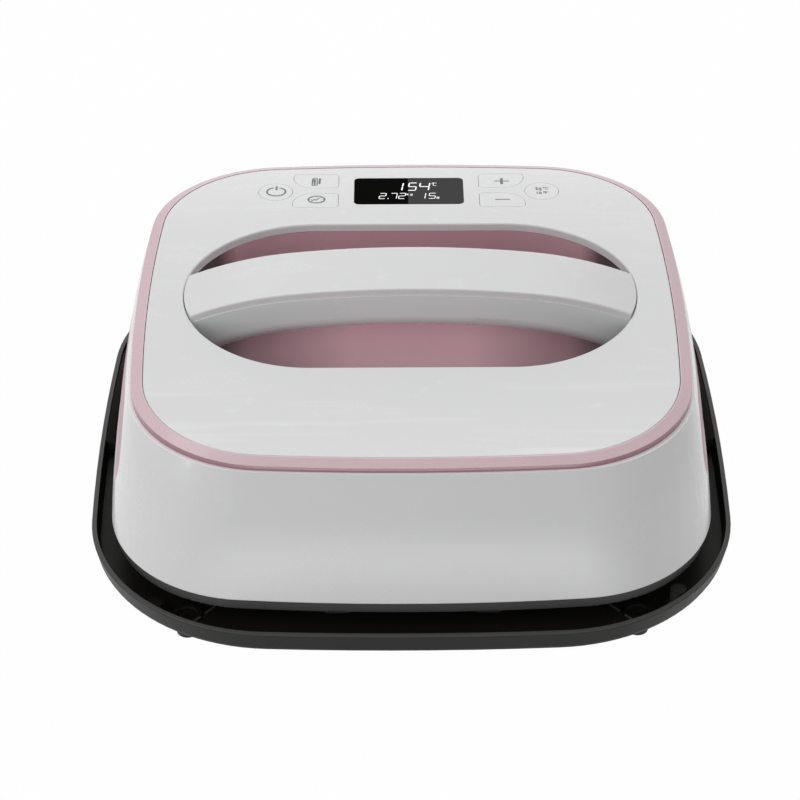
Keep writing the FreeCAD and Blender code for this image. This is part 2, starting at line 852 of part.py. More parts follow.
def deck_ribs():
    """What hangs under the panel: the lip round the opening, the window frame and the screw bosses."""
    lip_low = "deck_height - lip_depth"
    lip_outline = stadium(
        None, "lip_outline", "opening_length + 2 * lip_wall", "opening_width + 2 * lip_wall", lip_low,
        "0", "opening_shift")
    frame_low = "deck_height - window_frame_depth"
    frame_outline = rounded_box(
        None, "window_frame_outline", "window_length + 2 * window_frame", "window_width + 2 * window_frame",
        ["window_corner"] * 4, frame_low, "0", "window_row")
    groups = (
        ("deck_screw", deck_screw_places(), "deck_boss_diameter", "ring_foot_depth"),
        ("tub_screw", tub_screw_places(), "deck_boss_diameter", "tub_flange_depth"),
        ("board_screw", board_screw_places(), "board_boss_diameter", "board_top_depth"),
    )
    items = [
        extruded("lip_block", lip_outline, "lip_depth"),
        extruded("window_frame", frame_outline, "window_frame_depth"),
    ]
    for name, places, diameter, depth in groups:
        outline = circles(None, name + "_bosses", diameter, places, "deck_height - " + depth)
        items.append(extruded(name + "_boss_bars", outline, depth))
    return common("deck_ribs", fused("deck_rib_bars", *items), crown("rib_crown", "panel_wall / 2"))


def deck_openings():
    """Everything that is cut out of the panel and its ribs."""
    high = "deck_height + 1"
    opening = stadium(None, "opening_outline", "opening_length", "opening_width", high, "0", "opening_shift")
    seat = rounded_box(
        None, "window_seat_outline", "window_length + 2 * window_gap", "window_width + 2 * window_gap",
        ["window_corner + window_gap"] * 4, high, "0", "window_row")
    view = rounded_box(
        None, "window_view_outline", "window_length - 2 * window_margin", "window_width - 2 * window_margin",
        ["window_corner"] * 4, high, "0", "window_row")
    items = [
        extruded("opening_tool", opening, "0", "tub_depth"),
        extruded("window_seat_tool", seat, "0", "window_foot_depth + 1"),
        extruded("window_view_tool", view, "0", "tub_depth"),
    ]
    for name in key_places():
        outline = key_outline(name, "key_gap", high)
        items.append(extruded(name + "_hole_tool", outline, "0", "tub_depth"))
    pilots = deck_screw_places() + tub_screw_places() + board_screw_places()
    pilot_outline = circles(None, "deck_pilots", "screw_pilot", pilots, "deck_height - board_top_depth - 1")
    pilot_length = "board_top_depth + 1 - panel_wall - %s" % CROWN_SAG
    items.append(extruded("deck_pilot_tool", pilot_outline, pilot_length))
    return fused("deck_opening_tools", *items)


def deck_panel():
    """The crowned white panel: a thin skin with a rim that stands on the ring's ledge."""
    low = "deck_height - deck_rim_depth"
    outer = bowed_square(None, "deck_outline", "deck_half", "deck_side", "deck_corner", low)
    block = common("deck_block", extruded("deck_prism", outer, "deck_rim_depth"), crown("deck_crown"))
    floor = value(low) + 0.1
    skin = rounded("deck_skin_block", block, "deck_edge_round", lambda edge: edge.BoundBox.ZMin > floor)
    inner = bowed_square(
        None, "deck_hollow_outline", "deck_half - deck_rim_width", "deck_side - deck_rim_width",
        "deck_corner - deck_rim_width", low + " - 1")
    hollow = common(
        "deck_hollow", extruded("deck_hollow_prism", inner, "deck_rim_depth + 1"),
        crown("deck_hollow_crown", "panel_wall"))
    shell = fused("deck_shell", cut("deck_skin", skin, hollow), deck_ribs())
    pierced = cut("deck_pierced", shell, deck_openings())
    panel = rounded("deck_panel", pierced, "opening_edge_round", opening_edge)
    node(panel, "deck_panel")


def opening_edge(edge):
    """Whether an edge runs round the handle opening at the deck's surface."""
    high = edge.BoundBox.ZMin > value("deck_height - panel_wall / 2")
    half_width = value("opening_width") / 2
    run = value("opening_length") / 2 - half_width
    spots = [edge.valueAt(edge.FirstParameter), edge.valueAt(edge.LastParameter)]
    for spot in spots:
        x, y = abs(spot.x), spot.y - value("opening_shift")
        reach = math.hypot(max(x - run, 0), y)
        high = high and abs(reach - half_width) < 0.01
    return high


def accent_ring():
    """The pink ring: sloped outside, with a ledge inside that carries the deck panel's rim."""
    low = "deck_height - ring_foot_depth"
    outer = bowed_square(
        None, "ring_outline", "deck_half + ring_overhang", "deck_side + ring_overhang",
        "deck_corner + ring_overhang", low)
    block = common("ring_block", extruded("ring_prism", outer, "ring_foot_depth"), crown("ring_crown"))
    DOC.recompute()
    sloped = DOC.addObject("Part::Chamfer", "ring_slope")
    sloped.Base = block
    floor = value(low) + 0.1
    top_edges = edges_where(block.Shape, lambda edge: edge.BoundBox.ZMin > floor)
    sloped.Edges = [(top_edges[0], value("ring_slope_drop"), value("ring_slope_width"))]
    ledge_hole = bowed_square(
        None, "ring_ledge_outline", "deck_half - ring_ledge", "deck_side - ring_ledge", "deck_corner - ring_ledge",
        low + " - 1")
    seat = bowed_square(
        None, "ring_seat_outline", "deck_half + seam_gap", "deck_side + seam_gap", "deck_corner + seam_gap",
        "deck_height - deck_rim_depth")
    tools = fused(
        "ring_tools", extruded("ring_hole", ledge_hole, "ring_foot_depth + 2"),
        extruded("ring_seat", seat, "ring_foot_depth"))
    node(cut("accent_ring", sloped, tools), "accent_ring")


def inlay_bar(name, side, grow):
    """A slot-shaped bar across one side of the press, larger all round by grow."""
    start = "skirt_waist_half - 30" if side > 0 else "-skirt_foot_half - 20"
    outline = stadium(
        None, name + "_outline", "inlay_length + 2 * (%s)" % grow, "inlay_width + 2 * (%s)" % grow, start,
        "inlay_shift", "deck_height - inlay_drop", "YZ_Plane")
    return extruded(name, outline, "skirt_foot_half - skirt_waist_half + 50")


def skirt_shell(forms):
    """The white side wall, with an inward flange on top, screw posts, inlay seats and the cord entry."""
    wall = cut("skirt_wall_shell", forms["outer"], forms["inner"])
    flange_low = "deck_height - ring_foot_depth - flange_thick"
    flange = bowed_square(
        None, "flange_outline", "deck_half + ring_overhang", "deck_side", "deck_corner + ring_overhang", flange_low)
    post_low = SHIELD_TOP
    post_length = "deck_height - ring_foot_depth - %s" % post_low
    posts = [extruded("skirt_flange_slab", flange, "flange_thick")]
    for number, (x_text, y_text) in enumerate(base_screw_places()):
        sideways = number >= 4
        size = ("2 * boss_diameter", "boss_diameter") if sideways else ("boss_diameter", "2 * boss_diameter")
        out = "boss_diameter / 2"
        sign_x = math.copysign(1, value(x_text))
        sign_y = math.copysign(1, value(y_text))
        x_place = "(%s) %+d * %s" % (x_text, sign_x, out) if sideways else x_text
        y_place = y_text if sideways else "(%s) %+d * %s" % (y_text, sign_y, out)
        posts.append(box("skirt_post_%d" % (number + 1), *size, post_length, x_place, y_place, post_low))
    for number, (x_text, y_text) in enumerate(tongue_screw_places(), start=1):
        depth = "tongue_drop - ring_foot_depth"
        low = "deck_height - tongue_drop"
        posts.append(rod("tongue_boss_%d" % number, "tongue_boss_diameter", depth, x_text, y_text, low))
    inside = common("skirt_inside", fused("skirt_ribs", *posts), forms["middle"])
    entry_outline = circles(
        None, "gland_pad_outline", "gland_pad_diameter", [("0", CORD_LEVEL)], "gland_face", "XZ_Plane")
    entry_pad = extruded("gland_pad", entry_outline, "3 * skirt_wall + gland_pad_depth")
    shell = fused("skirt_body", wall, inside, entry_pad)
    window = bowed_square(
        None, "flange_window_outline", "flange_half", "deck_side", "flange_corner", flange_low + " - 1")
    gland_outline = circles(
        None, "gland_hole_outline", "gland_hole", [("0", CORD_LEVEL)], "gland_face + 1", "XZ_Plane")
    pilots = circles(None, "skirt_pilots", "screw_pilot", base_screw_places(), post_low + " - 1")
    tongue_pilots = circles(
        None, "tongue_pilots", "screw_pilot", tongue_screw_places(), "deck_height - tongue_drop - 1")
    notch = box(
        "flange_key_notch", "flange_notch_length", "flange_notch_width", "flange_thick + 2", "0",
        "flange_notch_row - flange_notch_width / 2", flange_low + " - 1")
    deck_holes = circles(None, "skirt_deck_holes", "screw_hole", deck_screw_places(), flange_low + " - 1")
    tools = [
        extruded("flange_window", window, "flange_thick + 2"),
        notch,
        extruded("gland_hole", gland_outline, "gland_length"),
        extruded("skirt_pilot_tool", pilots, "base_screw_bite + 3"),
        extruded("tongue_pilot_tool", tongue_pilots, "tongue_drop - ring_foot_depth"),
        extruded("skirt_deck_hole_tool", deck_holes, "flange_thick + 2"),
    ]
    for side, name in ((-1, "left"), (1, "right")):
        bar = inlay_bar("inlay_seat_" + name, side, "inlay_gap")
        tools.append(cut("inlay_seat_tool_" + name, bar, forms["seat"]))
    node(cut("skirt_shell", shell, fused("skirt_tools", *tools)), "skirt_shell")


def side_inlays(forms):
    for side, name in ((-1, "left"), (1, "right")):
        panel = common("inlay_panel_" + name, inlay_bar("inlay_bar_" + name, side, "0"), forms["face"])
        node(cut("side_inlay_" + name, panel, forms["back"]), "side_inlay_" + name)


# ---- handle and tub ----


def tub_lean(text):
    """How far the tub's wall leans in over a depth below the lip."""
    return "(%s) * tan(tub_draft)" % text


def handle_tub():
    """The pink tub: a drafted bowl with a rounded floor, a screw flange and a slot at each end."""
    body = new_body("handle_tub")
    rim = "deck_height - lip_depth - seam_gap"
    floor = "deck_height - tub_depth"
    lean = tub_lean("tub_depth - lip_depth - seam_gap")

    def outline(name, grow, place):
        return stadium(
            body, name, "opening_length + 2 * (%s)" % grow, "opening_width + 2 * (%s)" % grow, place,
            "0", "opening_shift")

    outer = [
        outline("tub_outer_foot", "tub_wall - %s" % tub_lean("tub_depth - lip_depth"), floor + " - tub_wall"),
        outline("tub_outer_rim", "tub_wall", rim),
    ]
    loft(body, outer, ruled=True)
    flange = stadium(
        body, "tub_flange", "opening_length + 2 * tub_flange_end", "opening_width + 2 * tub_flange_width",
        "deck_height - tub_flange_depth", "0", "opening_shift")
    pad(body, flange, "tub_flange_thick", reverse=True)
    inner = [outline("tub_inner_foot", "-(%s)" % lean, floor), outline("tub_inner_rim", "0", rim)]
    loft(body, inner, "SubtractiveLoft", ruled=True)
    round_off(body, "tub_round", at_height(floor))
    round_off(body, "tub_round", at_height(floor + " - tub_wall"))
    slot = "tongue_thick + 2 * handle_gap"
    slot_low = "deck_height - tongue_drop - tongue_thick - handle_gap"
    slot_side = "tongue_width / 2 + handle_gap"
    corners = [(-1, 0), (1, 0), (1, 1), (-1, 1)]
    points = [
        ("handle_shift %+d * (%s)" % (x, slot_side), "%s + %d * (%s)" % (slot_low, y, slot)) for x, y in corners
    ]
    ends = polygon(body, "tub_end_slots", points, "0", "YZ_Plane")
    pocket(body, ends, "2 * opening_length", "Symmetric")
    holes = circles(body, "tub_screw_holes", "screw_hole", tub_screw_places(), "deck_height - tub_flange_depth + 1")
    pocket(body, holes, "tub_flange_thick + 2")
    node(body, "handle_tub")


def handle_bay(name, top, depth):
    """The space inside the opening and the tub that the handle has to stay in."""
    body = new_body(name)
    lip = "deck_height - lip_depth"
    lean = tub_lean(depth)

    def outline(part, grow, place):
        return stadium(
            body, name + part, "opening_length - 2 * handle_gap + 2 * (%s)" % grow,
            "opening_width - 2 * handle_gap + 2 * (%s)" % grow, place, "0", "opening_shift")

    loft(body, [outline("_foot", "-(%s)" % lean, "%s - (%s)" % (lip, depth)), outline("_lip", "0", lip)], ruled=True)
    pad(body, outline("_top", "0", lip), top)
    return body


def seam_arch(drop):
    """The arch that lies a drop below the handle's top, parallel to it."""
    return (
        "deck_height + handle_rise - (%s)" % drop, "arch_radius - (%s)" % drop, "shoulder_radius - (%s)" % drop,
        "handle_knee * (arch_radius - (%s)) / arch_radius" % drop,
    )


def belly_arch(rise):
    """The arch that lies a rise above the handle's underside, parallel to it."""
    return (
        "deck_height + handle_rise - handle_thick + (%s)" % rise, "belly_radius + (%s)" % rise,
        "heel_radius + (%s)" % rise, "handle_knee * (belly_radius + (%s)) / belly_radius" % rise,
    )


def across_handle(body, sketch, width, kind="Pad"):
    return pad(body, sketch, width, kind, "Symmetric")


def handle_cover():
    """The upper half of the arched handle: a shallow cap whose ends follow the opening's round ends."""
    body = new_body("cover_bar")
    reach = "opening_length / 2 + 2"
    outline = arched_band(body, "cover_outline", seam_arch("0"), seam_arch("cover_depth"), reach)
    across_handle(body, outline, "handle_width")
    top = value("deck_height + handle_rise")
    half = value("handle_width") / 2

    def long_top_edge(edge):
        box_ = edge.BoundBox
        flat = abs(abs(box_.YMin) - half) < 0.01 and abs(box_.YMax - box_.YMin) < 0.01
        middle = edge.valueAt((edge.FirstParameter + edge.LastParameter) / 2)
        drop = arch_drop(middle.x)
        return flat and abs(middle.z - (top - drop)) < 0.2 and box_.XLength > 1

    round_off(body, "cover_round", long_top_edge)
    hollow_reach = "opening_length / 2 - handle_solid_end"
    hollow = arched_band(body, "cover_hollow", seam_arch("cover_wall"), seam_arch("cover_depth + 1"), hollow_reach)
    across_handle(body, hollow, "handle_width - 2 * cover_wall", "Pocket")
    bind(body, "Placement.Base.y", "handle_shift")
    bay = handle_bay("cover_bay", "handle_rise + lip_depth + 2", "tub_depth / 2")
    node(common("handle_cover", body, bay), "handle_cover")


def arch_drop(x):
    """How far the handle's top has fallen at a distance x from the middle."""
    big, small, bend = value("arch_radius"), value("shoulder_radius"), value("handle_knee")
    x = abs(x)
    if x <= bend:
        return big - math.sqrt(big**2 - x**2)
    tilt = math.asin(bend / big)
    inset = bend - small * math.sin(tilt)
    return big * (1 - math.cos(tilt)) + small * math.cos(tilt) - math.sqrt(small**2 - (x - inset) ** 2)


def handle_base():
    """The lower half of the handle: a rounded trough whose tongues reach under the skirt's flange."""
    body = new_body("base_bar")
    reach = "opening_length / 2 + 2"
    outline = arched_band(body, "base_outline", seam_arch("cover_depth + handle_seam"), belly_arch("0"), reach)
    width = "handle_width - 2 * handle_step"
    across_handle(body, outline, width)
    half = value(width) / 2
    seam = value("deck_height + handle_rise - cover_depth")

    def long_under_edge(edge):
        box_ = edge.BoundBox
        flat = abs(abs(box_.YMin) - half) < 0.01 and abs(box_.YMax - box_.YMin) < 0.01
        middle = edge.valueAt((edge.FirstParameter + edge.LastParameter) / 2)
        return flat and box_.XLength > 1 and middle.z < seam - arch_drop(middle.x) - 5

    round_off(body, "handle_round", long_under_edge)
    hollow_reach = "opening_length / 2 - handle_solid_end"
    hollow = arched_band(body, "base_hollow", seam_arch("cover_depth - 1"), belly_arch("handle_wall"), hollow_reach)
    across_handle(body, hollow, "handle_width - 2 * handle_step - 2 * handle_wall - handle_round", "Pocket")
    bind(body, "Placement.Base.y", "handle_shift")
    bay = handle_bay("base_bay", "handle_rise + lip_depth + 2", "tub_depth - lip_depth - tub_round")
    items = [common("base_bar_trimmed", body, bay)]
    root = "opening_length / 2 - handle_solid_end / 2"
    low = "deck_height - tongue_drop - tongue_thick"
    for side in SIDES:
        middle = signed(side, "(tongue_reach + %s) / 2" % root)
        name = "tongue_left" if side < 0 else "tongue_right"
        items.append(
            box(name, "tongue_reach - (%s)" % root, "tongue_width", "tongue_thick", middle, "handle_shift", low))
    holes = circles(None, "tongue_holes", "screw_hole", tongue_screw_places(), low + " - 1")
    tool = extruded("tongue_hole_tool", holes, "tongue_thick + 2")
    node(cut("handle_base", fused("handle_base_blank", *items), tool), "handle_base")


# ---- display, keys and control board ----


def display_window():
    outline = rounded_box(
        None, "window_outline", "window_length", "window_width", ["window_corner"] * 4,
        "deck_height - window_foot_depth", "0", "window_row")
    block = extruded("window_block", outline, "window_foot_depth")
    node(common("display_window", block, crown("window_crown")), "display_window")


def keys():
    """Six keys: each a cap flush with the deck, a flange that keeps it in and a short stem."""
    plunger_top = "deck_height - board_top_depth + switch_body + switch_plunger"
    stem_low = "%s + key_travel_room" % plunger_top
    for name, (x_text, y_text) in key_places().items():
        foot = "deck_height - key_foot_depth"
        cap = extruded(name + "_cap", key_outline(name, "0", foot), "key_foot_depth")
        skirt = extruded(name + "_flange", key_outline(name, "key_flange", foot), "key_flange_thick")
        stem = rod(
            name + "_stem", "key_stem_diameter", "%s - (%s) + key_flange_thick / 2" % (foot, stem_low),
            x_text, y_text, stem_low)
        node(common(name, fused(name + "_blank", cap, skirt, stem), crown(name + "_crown")), name)


def control_board():
    low = "deck_height - board_top_depth - board_thick"
    outline = rounded_box(
        None, "board_outline", "board_length", "board_width", ["board_corner"] * 4, low, "0", "board_row")
    holes = circles(None, "board_holes", "screw_hole", board_screw_places(), low + " - 1")
    board = extruded("board_blank", outline, "board_thick")
    node(cut("control_board", board, extruded("board_hole_tool", holes, "board_thick + 2")), "control_board")
    screws("board_screws", board_screw_places(), low, "board_thick + screw_bite")
    switches = []
    for name, (x_text, y_text) in key_places().items():
        low = "deck_height - board_top_depth"
        case = box(name + "_switch_case", "switch_side", "switch_side", "switch_body", x_text, y_text, low)
        plunger = rod(
            name + "_plunger", "switch_plunger_diameter", "switch_plunger", x_text, y_text, low + " + switch_body")
        switches.append(fused(name + "_switch", case, plunger))
    node(grouped("tact_switches", switches), "tact_switches")
    height = "board_top_depth - window_frame_depth - lcd_gap"
    module = rounded_box(
        None, "lcd_outline", "lcd_length", "lcd_width", ["window_corner / 2"] * 4, low, "0", "window_row")
    node(extruded("lcd_module", module, height), "lcd_module")


# ---- base frame, heating plate and its stack ----


def base_frame():
    """The black foot of the side wall: a visible band, a tongue inside the wall and bosses for the shield."""
    body = new_body("base_frame")
    band = bowed_square(body, "frame_band", "frame_half", "frame_side", "frame_corner", "frame_base")
    pad(body, band, "skirt_foot_height - frame_base")
    round_off(body, "frame_round", at_height("frame_base"))
    top = "skirt_foot_height + frame_upstand"
    insets = "skirt_wall - frame_fit", "skirt_wall - frame_fit - frame_upstand_wall"
    upstand, room = (
        bowed_square(
            body, name, "skirt_foot_half - " + inset, "skirt_foot_side - " + inset, "skirt_foot_corner - " + inset,
            place)
        for name, inset, place in (
            ("frame_upstand", insets[0], "skirt_foot_height"), ("frame_room", insets[1], top))
    )
    pad(body, upstand, "frame_upstand")
    pocket(body, room, "%s - (frame_base + frame_bay_depth + frame_flange_thick)" % top)
    bay = bowed_square(body, "frame_bay", "frame_bay_half", "frame_side", "frame_bay_corner", "frame_base")
    pocket(body, bay, "frame_bay_depth", reverse=True)
    window = bowed_square(
        body, "frame_window", "frame_window_half", "frame_side", "frame_window_corner", "frame_base")
    pocket(body, window, "2 * frame_upstand", reverse=True)
    flange_low = "frame_base + frame_bay_depth"
    bosses = circles(body, "frame_bosses", "boss_diameter", base_screw_places(), flange_low)
    pad(body, bosses, "shield_height - (%s)" % flange_low)
    holes = circles(body, "frame_holes", "screw_hole", base_screw_places(), "frame_base")
    pocket(body, holes, "shield_height", reverse=True)
    heads = circles(body, "frame_head_wells", "screw_head + 1", base_screw_places(), "frame_base")
    pocket(body, heads, "frame_bay_depth", reverse=True)
    node(body, "base_frame")
    length = "%s - (%s) + base_screw_bite" % (SHIELD_TOP, flange_low)
    screws("base_screws", base_screw_places(), flange_low, length)


def element_path(body, name, place):
    """Eight runs side by side, joined by half-round bends at alternate ends."""
    sketch = new_sketch(body, name, "XY_Plane", place)
    pitch, reach = value("element_pitch"), value("element_reach")
    radius = pitch / 2
    runs, bends = [], []
    for number in range(8):
        x = (number - 3.5) * pitch
        down = number % 2 == 0
        start = Vector(x, reach if down else -reach, 0)
        end = Vector(x, -reach if down else reach, 0)
        runs.append(add_line(sketch, start, end))
        if number == 7:
            continue
        centre = Vector(x + radius, -reach if down else reach, 0)
        turn = (math.pi, 2 * math.pi) if down else (0, math.pi)
        bends.append(add_arc(sketch, centre, radius, *turn))
    for number, bend in enumerate(bends):
        first, last = (1, 2) if number % 2 == 0 else (2, 1)
        sketch.addConstraint(Sketcher.Constraint("Tangent", runs[number], 2, bend, first))
        sketch.addConstraint(Sketcher.Constraint("Tangent", bend, last, runs[number + 1], 1))
        limit(sketch, Sketcher.Constraint("Radius", bend, radius), "element_pitch / 2")
    for number, run in enumerate(runs):
        sketch.addConstraint(Sketcher.Constraint("Vertical", run))
        end = "element_reach" if number % 2 else "-element_reach"
        if number == 0:
            hold(sketch, run, 1, "-element_pitch * 3.5", "element_reach")
        length = "2 * element_reach"
        ends = (1, 2) if number % 2 else (2, 1)
        limit(sketch, Sketcher.Constraint("DistanceY", run, ends[0], run, ends[1], 2 * reach), length)
    return sketch


def element_sweep(body, name, diameter, place, kind):
    """A round bar along the element's path, added to the body or taken from it."""
    path = element_path(body, name + "_path", place)
    section = circles(
        body, name + "_section", diameter, [("-element_pitch * 3.5", place)], "element_reach", "XZ_Plane")
    item = feature(body, kind, name + "_sweep")
    item.Profile = section
    item.Spine = (path, [])
    return item


def heating_plate():
    """The cast plate: rounded at its working face, with a groove in its back for the element."""
    body = new_body("heating_plate")
    outline = bowed_square(body, "plate_outline", "plate_half", "plate_side", "plate_corner", "plate_base")
    pad(body, outline, "plate_thick")
    round_off(body, "plate_round", at_height("plate_base"))
    element_sweep(body, "groove", "element_diameter + 2 * element_gap", ELEMENT_LEVEL, "SubtractivePipe")
    holes = circles(
        body, "plate_post_holes", "screw_pilot", post_places(), "plate_base + plate_thick")
    pocket(body, holes, "plate_thick / 2")
    node(body, "heating_plate")


def heating_element():
    body = new_body("heating_element")
    element_sweep(body, "element", "element_diameter", ELEMENT_LEVEL, "AdditivePipe")
    node(body, "heating_element")
    top = "%s + element_diameter / 2" % ELEMENT_LEVEL
    posts = []
    for number, (x_text, y_text) in enumerate(terminal_places(), start=1):
        name = "terminal_%d" % number
        bush = rod(name + "_bush", "terminal_diameter", "terminal_length", x_text, y_text, top)
        pin = rod(
            name + "_pin", "terminal_pin", "terminal_length + terminal_pin_length", x_text, y_text, top)
        posts.append(fused(name, bush, pin))
    node(grouped("element_terminals", posts), "element_terminals")


def stack_sheet(name, half, corner, low, thick, holes):
    """A flat sheet of the plate's shape, with round holes in several sizes."""
    body = new_body(name)
    outline = bowed_square(body, name + "_outline", half, "plate_side", corner, low)
    pad(body, outline, thick)
    for number, (diameter, places) in enumerate(holes):
        ring = circles(body, "%s_holes_%d" % (name, number), diameter, places, "%s + %s" % (low, thick))
        pocket(body, ring, "2 * (%s)" % thick)
    return node(body, name)


def plate_stack():
    """Mica sheet, fibre pad and steel shield above the plate, with clearance for posts and terminals."""
    passing = [
        ("post_hole", post_places()),
        ("terminal_diameter + 1", terminal_places()),
    ]
    stack_sheet("mica_sheet", "mica_half", "inner_corner", MICA_LOW, "mica_thick", passing)
    pad_low = "%s + mica_thick" % MICA_LOW
    stack_sheet("insulation_pad", "insulation_half", "inner_corner + 1", pad_low, "insulation_thick", passing)
    shield_holes = passing + [("screw_hole + 0.6", base_screw_places())]
    stack_sheet("heat_shield", "shield_half", "shield_corner", "shield_height", "shield_thick", shield_holes)


def load_cells():
    """Four square cells on the shield, each with a tongue that carries one of the plate's posts."""
    names = ("front_left", "front_right", "rear_left", "rear_right")
    cell_low = SHIELD_TOP
    for name, (x_text, y_text) in zip(names, post_places()):
        label = "load_cell_" + name
        inward = -1 if value(y_text) > 0 else 1
        plate = box(label + "_plate", "cell_side", "cell_side", "cell_thick", x_text, y_text, cell_low)
        window = box(
            label + "_window", "cell_tongue + 2 * cell_slot", "cell_tongue + 2 * cell_slot", "3 * cell_thick",
            x_text, y_text, cell_low + " - cell_thick")
        tongue_shift = "(%s) %+d * cell_slot" % (y_text, inward)
        tongue = box(
            label + "_tongue", "cell_tongue", "cell_tongue + cell_slot * 2.2", "cell_thick", x_text, tongue_shift,
            cell_low)
        ring = fused(label + "_blank", cut(label + "_ring", plate, window), tongue)
        hole = rod(label + "_hole", "screw_hole", "3 * cell_thick", x_text, y_text, cell_low + " - cell_thick")
        node(cut(label, ring, hole), label)
    plate_top = "plate_base + plate_thick"
    posts = []
    for number, (x_text, y_text) in enumerate(post_places(), start=1):
        bar = rod("post_bar_%d" % number, "post_diameter", "%s - (%s)" % (cell_low, plate_top), x_text, y_text,
                  plate_top)
        bore_low = cell_low + " - post_bore_depth"
        bore = rod("post_bore_%d" % number, "screw_pilot", "post_bore_depth + 1", x_text, y_text, bore_low)
        posts.append(cut("post_%d" % number, bar, bore))
    node(grouped("plate_posts", posts), "plate_posts")
    screws("cell_screws", post_places(), "%s + cell_thick" % cell_low, "cell_thick + screw_bite", up=False)


def plate_sensors():
    top = "plate_base + plate_thick"
    for label, row in (("thermistor", "thermistor_row"), ("thermal_fuse", "fuse_row")):
        foot = box(label + "_clip", "sensor_length", "sensor_width", "sensor_thick / 3", "0", row, top)
        bead = DOC.addObject("Part::Cylinder", label + "_bead")
        bead.Placement = Placement(Vector(), Rotation(Vector(0, 1, 0), 90))
        bind(bead, "Radius", "sensor_thick / 2.4")
        bind(bead, "Height", "sensor_length * 0.8")
        placed(bead, "-sensor_length * 0.4", row, "%s + sensor_thick * 0.55" % top)
        node(fused(label, foot, bead), label)


# ---- power board and cord entry ----


def power_board():
    deck_low = SHIELD_TOP
    low = deck_low + " + standoff_length"
    places = [
        (signed(x, "power_length / 2 - standoff_inset"), "power_row %+d * (power_width / 2 - standoff_inset)" % y)
        for x, y in CORNERS
    ]
    outline = rounded_box(
        None, "power_outline", "power_length", "power_width", ["board_corner / 2"] * 4, low, "0", "power_row")
    board = extruded("power_blank", outline, "board_thick")
    holes = extruded(
        "power_hole_tool", circles(None, "power_holes", "screw_hole", places, low + " - 1"), "board_thick + 2")
    node(cut("power_board", board, holes), "power_board")
    posts = []
    for number, (x_text, y_text) in enumerate(places, start=1):
        bar = rod("standoff_bar_%d" % number, "standoff_diameter", "standoff_length", x_text, y_text, deck_low)
        bore = rod("standoff_bore_%d" % number, "screw_pilot", "standoff_length", x_text, y_text, deck_low + " + 1")
        posts.append(cut("standoff_%d" % number, bar, bore))
    node(grouped("board_standoffs", posts), "board_standoffs")
    top = low + " + board_thick"
    screws("power_screws", places, top, "board_thick + screw_bite", up=False)
    for label, size, row in (
        ("transformer", "transformer", "power_row"),
        ("power_relay", "relay", "power_row + relay_shift"),
        ("terminal_block", "terminal_block", "power_row"),
    ):
        sizes = [size + "_length", size + "_width", size + "_height"]
        node(box(label, *sizes, size + "_x", row, top), label)
    node(rod("capacitor", "capacitor_diameter", "capacitor_height", "capacitor_x", "power_row", top), "capacitor")
    node(rod("buzzer", "buzzer_diameter", "buzzer_height", "buzzer_x", "power_row + buzzer_shift", top), "buzzer")


def ring_about_cord(label, points, start):
    """A piece turned about the cord's axis, from pairs of radius and distance to the rear."""
    body = new_body(label)
    sketch = polygon(body, label + "_outline", points, "0", "XY_Plane")
    item = feature(body, "Revolution", label + "_turn")
    item.Profile = sketch
    item.ReferenceAxis = (sketch, ["V_Axis"])
    bind(body, "Placement.Base.y", start)
    bind(body, "Placement.Base.z", CORD_LEVEL)
    node(body, label)


def cord_entry():
    """A gland in the rear wall, with its nut inside and a clamp behind it."""
    bore, barrel, flange = "gland_bore / 2", "gland_barrel / 2", "gland_flange / 2"
    rear = "gland_length + gland_flange_thick"
    gland = [(bore, "0"), (barrel, "0"), (barrel, "gland_length"), (flange, "gland_length"), (flange, rear), (bore, rear)]
    ring_about_cord("cord_gland", gland, "gland_face - gland_length")
    thread = barrel + " + gland_nut_play"
    nut = [(thread, "0"), ("gland_nut / 2", "0"), ("gland_nut / 2", "gland_nut_thick"), (thread, "gland_nut_thick")]
    ring_about_cord("gland_nut", nut, "gland_face - 3 * skirt_wall - gland_pad_depth - gland_nut_thick")
    height = "%s + gland_bore / 2 + clamp_cover - %s" % (CORD_LEVEL, SHIELD_TOP)
    block = box("clamp_block", "clamp_length", "clamp_width", height, "0", "clamp_row", SHIELD_TOP)
    bore_outline = circles(
        None, "clamp_bore_outline", "gland_bore", [("0", CORD_LEVEL)], "clamp_row + clamp_width", "XZ_Plane")
    node(cut("cord_clamp", block, extruded("clamp_bore", bore_outline, "2 * clamp_width")), "cord_clamp")


# ---- tray, feet and mat ----


def tray_form(label, rows):
    """The tray's flared form through rows of inset and height."""
    body = new_body(label)
    outlines = []
    for number, (inset, place) in enumerate(rows):
        share = "(((%s) - tray_base) / (tray_rim_height - tray_base))" % place
        half = "tray_foot_half + (tray_rim_half - tray_foot_half) * %s - (%s)" % (share, inset)
        texts = half, "tray_side - (%s)" % inset, "tray_corner - (%s)" % inset
        outlines.append(bowed_square(body, "%s_%d" % (label, number), *texts, place))
    loft(body, outlines, ruled=True)
    return body


def tray_ledges(middle):
    """A sloped ledge along the rear part of each side wall."""
    ledges = []
    for side, name in ((-1, "tray_ledge_left"), (1, "tray_ledge_right")):
        points = [
            (signed(side, "tray_rim_half"), "tray_base + 1"),
            (signed(side, "tray_rim_half"), "tray_rim_height - ledge_rim"),
            (signed(side, "tray_rim_half - tray_wall"), "tray_rim_height - ledge_rim"),
            (signed(side, "tray_rim_half - tray_wall - ledge_width"), "tray_rim_height - ledge_drop"),
            (signed(side, "tray_rim_half - tray_wall - ledge_width"), "tray_base + 1"),
        ]
        outline = polygon(None, name + "_outline", points, "ledge_rear", "XZ_Plane")
        ledges.append(extruded(name, outline, "ledge_rear - ledge_front"))
    return common("tray_ledges", fused("tray_ledge_bars", *ledges), middle)


